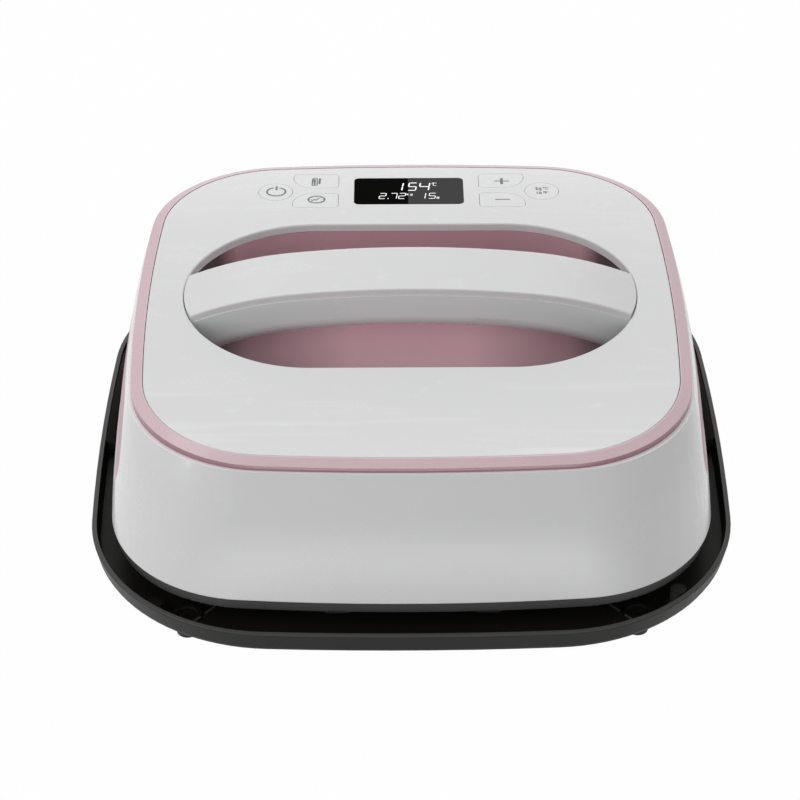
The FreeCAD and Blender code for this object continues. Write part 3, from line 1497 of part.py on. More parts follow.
def tray_posts(middle, floor):
    """Posts against the corners of the wall; the one at the front right is taller and stands further back."""
    post_x, post_y = "tray_foot_half - wall_post_inset_x", "tray_foot_half - wall_post_inset_y"
    places = [(signed(x, post_x), signed(y, post_y)) for x, y in CORNERS if (x, y) != (1, -1)]
    low = circles(None, "low_posts", "wall_post_diameter", places, floor)
    place = "tray_foot_half - tall_post_inset_x", "-(tray_foot_half - tall_post_inset_y)"
    tall = circles(None, "tall_post", "wall_post_diameter", [place], floor)
    posts = []
    for sketch, drop in ((low, "wall_post_drop"), (tall, "tall_post_drop")):
        bars = extruded(sketch.Label + "_bars", sketch, "tray_rim_height - %s - (%s)" % (drop, floor))
        posts.append(common("tray_%ss" % sketch.Label, bars, middle))
    return posts


def well_ribs(middle, plateau):
    """Two low ribs in line along the edge of each front well."""
    slope = "(well_waist_inset - well_mouth_inset) / (plateau_margin + well_reach_inset)"
    ribs = []
    for side, name in ((-1, "left"), (1, "right")):
        for number, start in enumerate(("well_rib_gap", "2 * well_rib_gap + well_rib_length")):
            low, high = "(%s)" % start, "(%s + well_rib_length)" % start
            points = []
            for along, inset in ((low, "0"), (high, "0"), (high, "well_rib_width"), (low, "well_rib_width")):
                x_text = "tray_foot_half - well_waist_inset + %s * %s - %s" % (along, slope, inset)
                y_text = "-(tray_foot_half - well_reach_inset + %s)" % along
                points.append((signed(side, x_text), y_text))
            label = "well_rib_%s_%d" % (name, number)
            outline = polygon(None, label + "_outline", points, "(%s) - well_rib_rise" % plateau)
            ribs.append(common(label, extruded(label + "_bar", outline, "2 * well_rib_rise"), middle))
    return ribs


def tray():
    """The moulded tray: a flared wall, a raised floor, wells with foot bosses, posts, slots and side ledges."""
    floor = "tray_base + tray_floor"
    plateau = floor + " + plateau_rise"
    foot_rows = [(inset, "tray_base + " + rise) for inset, rise in soft_edge("tray_foot_round")]
    rim_rows = [(inset, "tray_rim_height - " + rise) for inset, rise in reversed(soft_edge("tray_rim_round"))]
    outer = tray_form("tray_outer", foot_rows + rim_rows)
    middle = tray_form("tray_middle", [("tray_wall / 2", "tray_base"), ("tray_wall / 2", "tray_rim_height")])
    inner = tray_form("tray_inner", [("tray_wall", floor), ("tray_wall", "tray_rim_height")])
    far, mouth = "tray_foot_half + plateau_margin", "tray_foot_half - well_mouth_inset"
    waist, reach = "tray_foot_half - well_waist_inset", "tray_foot_half - well_reach_inset"
    rear = [(far, mouth), (reach, waist), (waist, reach), (mouth, far)]
    front = [(far, "-ledge_front"), (reach, "-ledge_front")] + rear[1:]
    points = []
    for x, y, corner in ((1, 1, rear), (-1, 1, rear[::-1]), (-1, -1, front), (1, -1, front[::-1])):
        points += [(signed(x, along), signed(y, across)) for along, across in corner]
    plateau_outline = polygon(None, "plateau_outline", points, floor)
    raised = common("tray_plateau", extruded("plateau_slab", plateau_outline, "plateau_rise"), middle)
    rings = circles(None, "tray_well_rings", "well_ring", foot_places(), floor)
    inside = [raised, extruded("tray_rings", rings, "plateau_rise"), tray_ledges(middle)]
    inside += tray_posts(middle, floor) + well_ribs(middle, plateau)
    shell = fused("tray_body", cut("tray_shell", outer, inner), *inside)
    under = bowed_square(
        None, "tray_hollow_outline", "plateau_hollow_half", "mat_side", "mat_corner", "tray_base - 1")
    recesses = circles(None, "tray_ring_recesses", "well_ring_bore", foot_places(), plateau + " - well_ring_recess")
    pilots = circles(None, "tray_foot_pilots", "screw_pilot", foot_places(), "tray_base - 1")
    tools = [
        extruded("tray_hollow", under, "plateau_rise + 1"),
        extruded("tray_recess_tool", recesses, "2 * well_ring_recess"),
        extruded("tray_pilot_tool", pilots, "tray_floor + plateau_rise + 2"),
    ]
    for number, (x, y) in enumerate(CORNERS, start=1):
        slot = stadium(
            None, "tray_slot_outline_%d" % number, "slot_length", "slot_width", "tray_base - 1",
            signed(x, "slot_x"), signed(y, "tray_foot_half - slot_inset"))
        tools.append(extruded("tray_slot_%d" % number, slot, "tray_floor + plateau_rise + 2"))
    node(cut("tray", shell, fused("tray_tools", *tools)), "tray")


def feet():
    names = ("front_left", "front_right", "rear_left", "rear_right")
    foot = "foot_diameter / 2"
    points = [
        ("screw_hole / 2", "foot_recess"), ("screw_head / 2 + 0.5", "foot_recess"), ("screw_head / 2 + 0.5", "0"),
        (foot + " - foot_taper", "0"), (foot, "tray_base"), ("screw_hole / 2", "tray_base"),
    ]
    for name, (x_text, y_text) in zip(names, foot_places()):
        node(turned("foot_" + name, points, x_text, y_text), "foot_" + name)
    screws("foot_screws", foot_places(), "foot_recess", "tray_base + tray_floor + 1 - foot_recess")


def heat_mat():
    body = new_body("heat_mat")
    outline = bowed_square(
        body, "mat_outline", "mat_half", "mat_side", "mat_corner", "tray_base + tray_floor + plateau_rise")
    pad(body, outline, "mat_thick")
    node(body, "heat_mat")


# ---- the whole press ----


def build():
    fill_sheet()
    tray()
    feet()
    heat_mat()
    insets = {
        "outer": "0", "middle": "skirt_wall / 2", "inner": "skirt_wall", "seat": "inlay_seat",
        "face": "inlay_sink", "back": "inlay_seat - inlay_gap / 2",
    }
    forms = {name: wall_form("wall_" + name, inset) for name, inset in insets.items()}
    forms["outer"] = common("wall_soft", forms["outer"], soft_foot("wall_soft_foot"))
    skirt_shell(forms)
    side_inlays(forms)
    accent_ring()
    deck_panel()
    handle_tub()
    handle_cover()
    handle_base()
    deck_seat = "deck_height - ring_foot_depth - flange_thick"
    screws("deck_screws", deck_screw_places(), deck_seat, "flange_thick + short_screw_bite")
    tub_seat = "deck_height - tub_flange_depth - tub_flange_thick"
    screws("tub_screws", tub_screw_places(), tub_seat, "tub_flange_thick + short_screw_bite")
    tongue_seat = "deck_height - tongue_drop - tongue_thick"
    screws("handle_screws", tongue_screw_places(), tongue_seat, "tongue_thick + screw_bite")
    display_window()
    keys()
    control_board()
    base_frame()
    heating_plate()
    heating_element()
    plate_stack()
    load_cells()
    plate_sensors()
    power_board()
    cord_entry()
    DOC.recompute()


def check():
    """Stops with a list of every object that failed, before anything is written."""
    faults = []
    for item in DOC.Objects:
        if {"Invalid", "Error"} & set(item.State):
            faults.append("%s: %s" % (item.Name, item.State))
    for item in NODES:
        if item.Shape.isNull() or not item.Shape.isValid() or not item.Shape.Solids:
            faults.append("%s: no valid shape" % item.Label)
    if faults:
        raise RuntimeError("\n".join(faults))


def write():
    os.makedirs("parts", exist_ok=True)
    for item in NODES:
        item.Shape.exportStep(os.path.join("parts", item.Label + ".step"))
        print("%-26s %d solids %12.1f mm3" % (item.Label, len(item.Shape.Solids), item.Shape.Volume))


build()
check()
write()
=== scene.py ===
"""A flat craft heat press in its base tray: finishes, printed marks, lit digits, stage and camera."""

import math

import bmesh
import bpy
from bpy.props import FloatProperty, FloatVectorProperty, PointerProperty
from bpy.types import Operator, Panel, PropertyGroup
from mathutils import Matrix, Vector


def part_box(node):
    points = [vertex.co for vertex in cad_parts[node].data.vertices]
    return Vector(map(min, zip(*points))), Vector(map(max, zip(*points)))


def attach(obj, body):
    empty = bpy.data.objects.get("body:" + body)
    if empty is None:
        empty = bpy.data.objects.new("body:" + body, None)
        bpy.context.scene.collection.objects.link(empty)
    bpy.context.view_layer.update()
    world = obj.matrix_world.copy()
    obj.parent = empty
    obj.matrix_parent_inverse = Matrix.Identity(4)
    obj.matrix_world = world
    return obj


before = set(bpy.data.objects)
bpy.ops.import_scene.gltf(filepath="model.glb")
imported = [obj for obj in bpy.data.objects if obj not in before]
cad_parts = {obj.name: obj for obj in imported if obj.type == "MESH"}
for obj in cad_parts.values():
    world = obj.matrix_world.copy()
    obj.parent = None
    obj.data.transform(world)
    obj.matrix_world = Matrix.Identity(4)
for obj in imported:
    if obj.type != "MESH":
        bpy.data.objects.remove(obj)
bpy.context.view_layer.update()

bl_info = {
    "name": "Craft heat press finishes",
    "version": (1, 0, 0),
    "blender": (4, 5, 0),
    "location": "3D View > Sidebar > Heat Press",
    "description": "Gives the heat press its finishes, marks, lit display and studio",
    "category": "Object",
}

MM = 0.001
WALL_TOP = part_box("skirt_shell")[1].z
TRAY_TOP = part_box("tray")[1].z
RIB_TOP = 10.8 * MM
TALL_POST = (117.0 * MM, -114.0 * MM, 10.0 * MM)
PRESS_MIDDLE = (0.0, 0.0, 0.05)

WHITE = (1.0, 1.0, 1.0)
# Painted light: the white of the painted reflections on the deck.
DECK_REFLECTION_WHITE = (0.95, 0.95, 0.96)
# The white of the painted highlights on the side wall.
WALL_HIGHLIGHT_WHITE = (0.95, 0.95, 0.95)
# The near-black of the painted shade at the tub's tips.
TUB_TIP_SHADE = (0.07, 0.055, 0.058)

# The two places between which a mask changes. SIDE counts to the left and right of the middle.
DECK_REFLECTION_Y = (-65.0 * MM, -85.0 * MM)
DISPLAY_REFLECTION_X = (-0.45 * MM, -0.15 * MM)
WALL_HIGHLIGHTS_SIDE = (118.0 * MM, 128.0 * MM)
TUB_FRONT_Y = (50.0 * MM, 42.0 * MM)
TUB_ENDS_SIDE = (28.0 * MM, 72.0 * MM)
TUB_TIPS_SIDE = (76.0 * MM, 92.0 * MM)
FRONT_RIBS_Y = (-90.0 * MM, -100.0 * MM)
TALL_POST_REACH = (6.0 * MM, 5.0 * MM)
BAND_CORNERS_SIDE = (92.0 * MM, 122.0 * MM)

# The same on the floor, in metres from the middle of the press.
FLOOR_GLOW_END = (0.27, 0.36)
PATCH_INNER_EDGE = (0.20, 0.235)
PATCH_OUTER_EDGE = (0.29, 0.255)
PATCH_SIDE = (0.16, 0.09)

# How much of the floor shows as plain white, how bright it mirrors far out, and its glowing patch in front,
# seen only in what mirrors the floor, which puts a painted reflection on the front of the side wall.
FLOOR_SHOWN_WHITE = 0.985
FLOOR_GLOW_FAR = 0.3
PATCH_STRENGTH = 2.4

# The deck is a part of a wide cylinder that lies along X.
DECK_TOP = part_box("deck_panel")[1].z
CROWN_RADIUS = 3.0


def crown_height(y):
    """The level of the crowned deck at a distance y from its middle."""
    return DECK_TOP - CROWN_RADIUS + math.sqrt(CROWN_RADIUS**2 - y**2)


def middle_of(name):
    """The middle of a node in X and Y, in millimetres, rounded to a tenth."""
    low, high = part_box(name)
    return tuple(round((low[axis] + high[axis]) / 2 / MM, 1) for axis in (0, 1))


def nodes_named(start="", end="", but=""):
    """The names of the CAD nodes that start and end so."""
    return [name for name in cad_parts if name.startswith(start) and name.endswith(end) and name != but]


# ---- what a user may change ----


def colour(name, text, default):
    return FloatVectorProperty(
        name=name, description=text, subtype="COLOR", size=3, min=0, max=1, default=default)


def share(name, text, default):
    return FloatProperty(name=name, description=text, subtype="FACTOR", min=0, max=1, default=default)


def length(name, text, default):
    return FloatProperty(
        name=name, description=text, unit="LENGTH", subtype="DISTANCE", precision=5, default=default)


def angle(name, text, default):
    return FloatProperty(name=name, description=text, subtype="ANGLE", default=default)


def number(name, text, default, unit="NONE"):
    return FloatProperty(name=name, description=text, unit=unit, default=default)


class PressFinish(PropertyGroup):
    """Colours and gloss of the press and its tray."""

    shell: colour("Shell", "White of the top panel, side wall, keys and handle", (0.735, 0.737, 0.745))
    shell_gloss: share("Shell roughness", "How matt the white shell is", 0.24)
    # The grip's cooler tint is painted light: it cancels the pink light that the tub bounces onto it.
    grip: colour("Grip", "White of the lower half of the handle", (0.755, 0.80, 0.80))
    trim: colour("Trim", "Pearly pink of the ring round the top panel", (0.69, 0.51, 0.55))
    # Painted shade: this deeper pink goes on the ring's faces that don't look up.
    trim_wall_shade: colour("Trim wall shade", "Deeper pink of the upright band of the ring", (0.37, 0.195, 0.235))
    inlay: colour("Inlay", "Pearly pink of the side inlays", (0.58, 0.40, 0.45))
    tub: colour("Tub", "Pearly pink of the tub under the handle", (0.58, 0.335, 0.385))
    tray: colour("Tray", "Black of the tray's outside", (0.032, 0.032, 0.031))
    # Painted highlight, not wear: the lighter grey of the tray's rim, front ribs and tall post.
    tray_highlight: colour("Tray highlight", "Rubbed grey of the tray's rim, ribs and tall post", (0.088, 0.086, 0.084))
    # Painted shade for the inside of the tray and the corners of the band.
    tray_shade: colour("Tray shade", "Warm black of the inside of the tray", (0.0125, 0.0112, 0.0095))
    band: colour("Band", "Dark grey of the band under the side wall", (0.042, 0.041, 0.041))
    rubber: colour("Rubber", "Black of the feet", (0.016, 0.016, 0.016))
    mat: colour("Mat", "Grey of the resting mat", (0.11, 0.11, 0.115))
    plate: colour("Plate", "Coated working face of the heating plate", (0.12, 0.12, 0.125))
    grain: length("Grain", "Size of the moulded grain", 0.45 * MM)


class DisplayMarks(PropertyGroup):
    """Printed marks on the keys and the lit digits."""

    ink: colour("Ink", "Grey of the printed marks on the keys", (0.15, 0.15, 0.16))
    glow: colour("Glow", "Colour of the lit digits", (0.86, 0.88, 0.90))
    slant: number("Slant", "How far the digits lean over per unit of height", 0.12)
    stroke: length("Stroke", "Width of a printed line on a key", 0.9 * MM)
    proud: length("Proud", "How far a mark stands above what it is printed on", 0.05 * MM)


class StudioSetup(PropertyGroup):
    """Camera, lamps and floor."""

    camera_back: length("Camera back", "Distance of the camera in front of the press", 0.9574)
    camera_up: length("Camera up", "Height of the camera above the floor", 0.7252)
    camera_side: length("Camera side", "How far the camera stands to the left of the press", 0.00776)
    camera_turn: angle("Camera turn", "How far the camera turns to the right", 0.0081)
    camera_tilt: angle("Camera tilt", "How far the camera looks down", math.radians(35.8))
    lens: number("Lens", "Focal length in millimetres", 112.66, unit="CAMERA")
    floor: colour("Floor", "Colour of the floor", (0.68, 0.68, 0.68))
    sky: number("Sky", "Strength of the even light from all round", 0.545)
    overhead: number("Overhead", "Power of the softbox above", 7.0, unit="POWER")
    front: number("Front", "Power of the softbox in front", 1.0, unit="POWER")
    rear: number("Rear", "Power of the softbox behind", 8.0, unit="POWER")
    left: number("Left", "Power of the left strip", 5.0, unit="POWER")
    right: number("Right", "Power of the right strip", 0.05, unit="POWER")


# ---- shader parts ----

# The socket numbers of a mix node for colours, because its sockets share their names.
MIX_MASK, MIX_PLAIN, MIX_OTHER, MIX_RESULT = 0, 6, 7, 2
# Half the width of the soft edge of a mask that stops at a level.
BLUR = 0.2 * MM


def add_node(tree, kind, values=None, **settings):
    """A node with its settings, and with plain values on named or numbered inputs."""
    made = tree.nodes.new(kind)
    for name, setting in settings.items():
        setattr(made, name, setting)
    for socket, plain in (values or {}).items():
        made.inputs[socket].default_value = plain
    return made


def feed(tree, socket, item):
    """Puts a plain number on an input, or links another node's output to it."""
    if isinstance(item, (int, float)):
        socket.default_value = item
    else:
        tree.links.new(item, socket)


def math_node(tree, operation, first, second):
    """A math node on two sockets or numbers; returns its output."""
    made = add_node(tree, "ShaderNodeMath", operation=operation)
    feed(tree, made.inputs[0], first)
    feed(tree, made.inputs[1], second)
    return made.outputs[0]


def product(tree, first, *others):
    """Several sockets or numbers multiplied together."""
    for item in others:
        first = math_node(tree, "MULTIPLY", first, item)
    return first


def noise(tree, vector, scale, detail=2.0, roughness=0.5):
    """Noise at a scale that is a number or another node's output."""
    made = add_node(tree, "ShaderNodeTexNoise", {"Detail": detail, "Roughness": roughness})
    tree.links.new(vector, made.inputs["Vector"])
    feed(tree, made.inputs["Scale"], scale)
    return made.outputs["Fac"]


def cells(tree, vector, scale, randomness=1.0):
    """A field of irregular cells, at a scale that is a number or another node's output."""
    made = add_node(tree, "ShaderNodeTexVoronoi", {"Randomness": randomness})
    tree.links.new(vector, made.inputs["Vector"])
    feed(tree, made.inputs["Scale"], scale)
    return made


def spread(tree, source, low, high, to_low=0.0, to_high=1.0):
    """Stretches the part of a value between two limits to a new range."""
    limits = {"From Min": low, "From Max": high, "To Min": to_low, "To Max": to_high}
    made = add_node(tree, "ShaderNodeMapRange", limits)
    tree.links.new(source, made.inputs["Value"])
    return made.outputs["Result"]


def object_place(tree):
    return tree.nodes.new("ShaderNodeTexCoord").outputs["Object"]


def surface_normal(tree):
    return tree.nodes.new("ShaderNodeNewGeometry").outputs["Normal"]


def stretched(tree, scale=(1.0, 1.0, 1.0), turn=0.0):
    """The object's own place, stretched along its axes and turned about Z."""
    made = add_node(tree, "ShaderNodeMapping", {"Scale": scale, "Rotation": (0.0, 0.0, turn)})
    tree.links.new(object_place(tree), made.inputs["Vector"])
    return made.outputs["Vector"]


def axis_part(tree, vector, axis):
    parts = tree.nodes.new("ShaderNodeSeparateXYZ")
    tree.links.new(vector, parts.inputs[0])
    return parts.outputs[axis]


def along(tree, axis, start, end):
    """Rises from 0 to 1 between two places on an axis of the object."""
    return spread(tree, axis_part(tree, object_place(tree), axis), start, end)


def above(tree, level):
    return along(tree, "Z", level - BLUR, level + BLUR)


def below(tree, level):
    return along(tree, "Z", level + BLUR, level - BLUR)


def side_distance(tree):
    """How far a point lies to the left or right of the object's middle."""
    return math_node(tree, "ABSOLUTE", axis_part(tree, object_place(tree), "X"), 0.0)


# ---- shader groups that several finishes share ----


def effect(name, inputs, outputs, fill):
    """A shader group with named inputs and outputs, built once."""
    if name in bpy.data.node_groups:
        return bpy.data.node_groups[name]
    tree = bpy.data.node_groups.new(name, "ShaderNodeTree")
    for socket, plain in inputs.items():
        made = tree.interface.new_socket(socket, in_out="INPUT", socket_type="NodeSocketFloat")
        made.default_value = plain
    for socket in outputs:
        tree.interface.new_socket(socket, in_out="OUTPUT", socket_type="NodeSocketFloat")
    fill(tree, tree.nodes.new("NodeGroupInput"), tree.nodes.new("NodeGroupOutput"))
    return tree


def use_effect(tree, group, **values):
    """A shader group with plain values on its inputs; an underscore stands for a space."""
    made = tree.nodes.new("ShaderNodeGroup")
    made.node_tree = group
    for socket, plain in values.items():
        made.inputs[socket.replace("_", " ")].default_value = plain
    return made


def break_sheen(tree, pattern, source, sink):
    """Turns a pattern into a change of roughness, up and down."""
    swing = spread(tree, pattern, 0.3, 0.7, to_low=-1.0)
    tree.links.new(product(tree, swing, source.outputs["Sheen break"]), sink.inputs["Roughness shift"])


def moulded_grain():
    """Fine grain on a slow swell, and the small breaks that it makes in the gloss."""

    def fill(tree, source, sink):
        place = object_place(tree)
        fine = math_node(tree, "DIVIDE", 1.0, source.outputs["Size"])
        coarse = product(tree, fine, 0.13)
        grain = noise(tree, place, fine, detail=3.0, roughness=0.6)
        swell = noise(tree, place, coarse, detail=1.0)
        height = math_node(tree, "ADD", grain, product(tree, swell, 0.6))
        tree.links.new(height, sink.inputs["Height"])
        break_sheen(tree, grain, source, sink)

    inputs = {"Size": 0.5 * MM, "Sheen break": 0.03}
    return effect("Moulded grain", inputs, ("Height", "Roughness shift"), fill)


def handling_marks():
    """Broad wipes and small prints that dull the gloss."""

    def fill(tree, source, sink):
        wipes = noise(tree, stretched(tree, scale=(1.0, 3.5, 1.0), turn=0.5), scale=14.0, detail=3.0)
        prints = noise(tree, object_place(tree), scale=55.0, roughness=0.65)
        faint = product(tree, spread(tree, prints, 0.58, 0.74), 0.7)
        both = math_node(tree, "MAXIMUM", spread(tree, wipes, 0.48, 0.75), faint)
        tree.links.new(product(tree, both, source.outputs["Amount"]), sink.inputs["Roughness shift"])

    return effect("Handling marks", {"Amount": 0.05}, ("Roughness shift",), fill)


def settled_dust():
    """Drifts and specks of dust on the faces that look up."""

    def fill(tree, source, sink):
        place = object_place(tree)
        facing = spread(tree, axis_part(tree, surface_normal(tree), "Z"), 0.55, 0.98)
        drift = spread(tree, noise(tree, place, scale=38.0, detail=5.0, roughness=0.7), 0.42, 0.72)
        specks = spread(tree, noise(tree, place, scale=2600.0, detail=1.0), 0.62, 0.72)
        load = math_node(tree, "ADD", product(tree, drift, 0.6), product(tree, specks, 0.5))
        tree.links.new(product(tree, load, facing, source.outputs["Amount"]), sink.inputs["Mask"])

    return effect("Settled dust", {"Amount": 0.1}, ("Mask",), fill)


def pearl_flakes():
    """Fine flakes of different brightness and tilt, in soft clouds."""

    def fill(tree, source, sink):
        place = object_place(tree)
        field = cells(tree, place, math_node(tree, "DIVIDE", 1.0, source.outputs["Size"]))
        parts = tree.nodes.new("ShaderNodeSeparateColor")
        tree.links.new(field.outputs["Color"], parts.inputs[0])
        cloud = spread(tree, noise(tree, place, scale=24.0), 0.35, 0.65, to_low=0.75)
        flakes = product(tree, parts.outputs["Red"], cloud, source.outputs["Amount"])
        tree.links.new(flakes, sink.inputs["Mask"])
        tree.links.new(parts.outputs["Green"], sink.inputs["Height"])

    return effect("Pearl flakes", {"Size": 0.2 * MM, "Amount": 0.1}, ("Mask", "Height"), fill)


def drawn_lines():
    """Fine lines along Y, as rolling, drawing or turning leaves them."""

    def fill(tree, source, sink):
        fine = math_node(tree, "DIVIDE", 1.0, source.outputs["Size"])
        lines = noise(tree, stretched(tree, scale=(1.0, 0.03, 1.0)), fine, detail=4.0, roughness=0.6)
        tree.links.new(lines, sink.inputs["Height"])
        break_sheen(tree, lines, source, sink)

    inputs = {"Size": 0.3 * MM, "Sheen break": 0.08}
    return effect("Drawn lines", inputs, ("Height", "Roughness shift"), fill)


def upward_faces():
    """High on faces whose normal rises above the limit."""

    def fill(tree, source, sink):
        rise = axis_part(tree, surface_normal(tree), "Z")
        over = math_node(tree, "SUBTRACT", rise, source.outputs["Limit"])
        tree.links.new(spread(tree, over, -0.15, 0.15), sink.inputs["Mask"])

    return effect("Upward faces", {"Limit": 0.6}, ("Mask",), fill)


def inward_faces():
    """High on faces that look towards the object's upright axis."""

    def fill(tree, source, sink):
        level = add_node(tree, "ShaderNodeVectorMath", {1: (1.0, 1.0, 0.0)}, operation="MULTIPLY")
        tree.links.new(object_place(tree), level.inputs[0])
        away = add_node(tree, "ShaderNodeVectorMath", operation="NORMALIZE")
        tree.links.new(level.outputs[0], away.inputs[0])
        facing = add_node(tree, "ShaderNodeVectorMath", operation="DOT_PRODUCT")
        tree.links.new(away.outputs[0], facing.inputs[0])
        tree.links.new(surface_normal(tree), facing.inputs[1])
        tree.links.new(spread(tree, facing.outputs["Value"], -0.12, -0.3), sink.inputs["Mask"])

    return effect("Inward faces", {}, ("Mask",), fill)


def painted_reflection_strokes():
    """Faint painted reflections: strokes of white that lie across the front of the deck."""

    def fill(tree, source, sink):
        streaks = noise(tree, stretched(tree, scale=(7.0, 110.0, 1.0), turn=0.03), scale=1.0, detail=1.0)
        lines = product(tree, spread(tree, streaks, 0.56, 0.74), along(tree, "Y", *DECK_REFLECTION_Y))
        tree.links.new(product(tree, lines, source.outputs["Amount"]), sink.inputs["Mask"])

    return effect("Soft strokes", {"Amount": 0.3}, ("Mask",), fill)


# ---- finishes ----


def new_finish(name, base, roughness, **sockets):
    """An empty finish: a Principled shader with plain values on its own sockets."""
    made = bpy.data.materials.new(name)
    made.use_nodes = True
    made.diffuse_color = (*base, 1.0)
    shader = made.node_tree.nodes["Principled BSDF"]
    shader.inputs["Base Color"].default_value = (*base, 1.0)
    shader.inputs["Roughness"].default_value = roughness
    for socket, plain in sockets.items():
        shader.inputs[socket.replace("_", " ")].default_value = plain
    return made, made.node_tree, shader


def tinted(tree, mask, plain, other):
    """A colour that goes from plain to other where the mask is high."""
    mix = add_node(tree, "ShaderNodeMix", data_type="RGBA")
    mix.inputs[MIX_PLAIN].default_value = (*plain, 1.0)
    mix.inputs[MIX_OTHER].default_value = (*other, 1.0)
    tree.links.new(mask, mix.inputs[MIX_MASK])
    return mix.outputs[MIX_RESULT]


def set_colour(tree, shader, mask, plain, other):
    tree.links.new(tinted(tree, mask, plain, other), shader.inputs["Base Color"])


def set_roughness(tree, shader, base, *effects):
    """The finish's own roughness, changed by what each effect adds to it."""
    total = effects[0].outputs["Roughness shift"]
    for item in effects[1:]:
        total = math_node(tree, "ADD", total, item.outputs["Roughness shift"])
    tree.links.new(math_node(tree, "ADD", total, base), shader.inputs["Roughness"])


def set_bump(tree, shader, height, distance):
    bump = add_node(tree, "ShaderNodeBump", {"Strength": 1.0, "Distance": distance})
    tree.links.new(height, bump.inputs["Height"])
    tree.links.new(bump.outputs["Normal"], shader.inputs["Normal"])


def overlay(made, mask, other):
    """Lays a second colour over a finish where the mask is high."""
    tree = made.node_tree
    socket = tree.nodes["Principled BSDF"].inputs["Base Color"]
    mix = add_node(tree, "ShaderNodeMix", data_type="RGBA")
    tree.links.new(socket.links[0].from_socket, mix.inputs[MIX_PLAIN])
    mix.inputs[MIX_OTHER].default_value = (*other, 1.0)
    tree.links.new(mask, mix.inputs[MIX_MASK])
    tree.links.new(mix.outputs[MIX_RESULT], socket)
    return made


def lighter(base, amount):
    return tuple(min(1.0, part + (1.0 - part) * amount) for part in base)


def dimmed(base, amount):
    return tuple(part * amount for part in base)


def moulded(name, base, roughness, grain, depth, handling=0.05, dust=0.0, **sockets):
    """A moulded plastic or rubber: grain, handling marks in its gloss, and dust on what faces up."""
    made, tree, shader = new_finish(name, base, roughness, **sockets)
    surface = use_effect(tree, moulded_grain(), Size=grain)
    marks = use_effect(tree, handling_marks(), Amount=handling)
    layer = use_effect(tree, settled_dust(), Amount=dust)
    set_colour(tree, shader, layer.outputs["Mask"], base, lighter(base, 0.45))
    set_roughness(tree, shader, roughness, surface, marks)
    set_bump(tree, shader, surface.outputs["Height"], depth)
    return made


def shell_white(name, base, finish):
    """The satin white of the shell; each piece that needs light or shade of its own has its own copy."""
    return moulded(
        name, base, finish.shell_gloss, finish.grain, depth=0.0012 * MM, handling=0.07,
        Coat_Weight=0.15, Coat_Roughness=0.08)


def pearl(name, base, roughness, amount=0.14, **sockets):
    """A pearly plastic: fine flakes that catch the light, under a clear coat."""
    made, tree, shader = new_finish(name, base, roughness, **sockets)
    flakes = use_effect(tree, pearl_flakes(), Amount=amount)
    set_colour(tree, shader, flakes.outputs["Mask"], base, lighter(base, 0.8))
    set_roughness(tree, shader, roughness, use_effect(tree, handling_marks(), Amount=0.06))
    set_bump(tree, shader, flakes.outputs["Height"], 0.004 * MM)
    return made


def drawn_metal(name, base, roughness, size):
    """A drawn, rolled or turned metal with fine lines."""
    made, tree, shader = new_finish(name, base, roughness, Metallic=1.0)
    lines = use_effect(tree, drawn_lines(), Size=size)
    set_roughness(tree, shader, roughness, lines, use_effect(tree, handling_marks(), Amount=0.1))
    set_bump(tree, shader, lines.outputs["Height"], 0.006 * MM)
    return made


def display_glass():
    """Black glass, with a painted reflection that turns its right part a paler grey."""
    black, reflection_grey = (0.0036, 0.0036, 0.0030), (0.064, 0.063, 0.064)
    made, tree, shader = new_finish("Display glass", black, 0.07, Specular_IOR_Level=0.002)
    # Painted reflection: paler grey to the right.
    set_colour(tree, shader, along(tree, "X", *DISPLAY_REFLECTION_X), black, reflection_grey)
    set_roughness(tree, shader, 0.06, use_effect(tree, handling_marks(), Amount=0.05))
    return made


def lit_digit(glow):
    """A lit segment, with a faint unevenness in its light."""
    made, tree, shader = new_finish("Lit digit", glow, 0.5, Emission_Strength=0.62)
    uneven = spread(tree, noise(tree, object_place(tree), scale=900.0), 0.2, 0.8)
    tone = tinted(tree, uneven, dimmed(glow, 0.92), glow)
    for socket in ("Emission Color", "Base Color"):
        tree.links.new(tone, shader.inputs[socket])
    return made


def circuit_board(name, base, copper=(0.62, 0.52, 0.30)):
    """Solder mask over a grid of tracks, with round pads."""
    made, tree, shader = new_finish(name, base, 0.35)
    place = object_place(tree)
    grid = {"Scale": 160.0, "Mortar Size": 0.03, "Brick Width": 1.2, "Row Height": 0.4}
    tracks = add_node(tree, "ShaderNodeTexBrick", grid)
    tree.links.new(place, tracks.inputs["Vector"])
    set_colour(tree, shader, tracks.outputs["Fac"], base, lighter(base, 0.25))
    pads = spread(tree, cells(tree, place, scale=190.0, randomness=0.4).outputs["Distance"], 0.22, 0.18)
    overlay(made, pads, copper)
    set_roughness(tree, shader, 0.38, use_effect(tree, handling_marks(), Amount=0.1))
    set_bump(tree, shader, pads, 0.03 * MM)
    return made


def felted(name, base):
    """Loose mineral fibre."""
    made, tree, shader = new_finish(name, base, 0.95, Sheen_Weight=0.3)
    place = object_place(tree)
    patches = spread(tree, noise(tree, place, scale=40.0, detail=4.0), 0.3, 0.7)
    set_colour(tree, shader, patches, dimmed(base, 0.88), base)
    set_bump(tree, shader, noise(tree, place, scale=900.0, detail=6.0, roughness=0.75), 0.25 * MM)
    return made


def flaked_mica():
    """Brown flakes of mica, pressed into a sheet."""
    made, tree, shader = new_finish("Mica sheet", (0.42, 0.31, 0.17), 0.3)
    flakes = cells(tree, object_place(tree), scale=120.0).outputs["Distance"]
    set_colour(tree, shader, flakes, (0.36, 0.25, 0.13), (0.55, 0.45, 0.28))
    set_bump(tree, shader, flakes, 0.03 * MM)
    return made


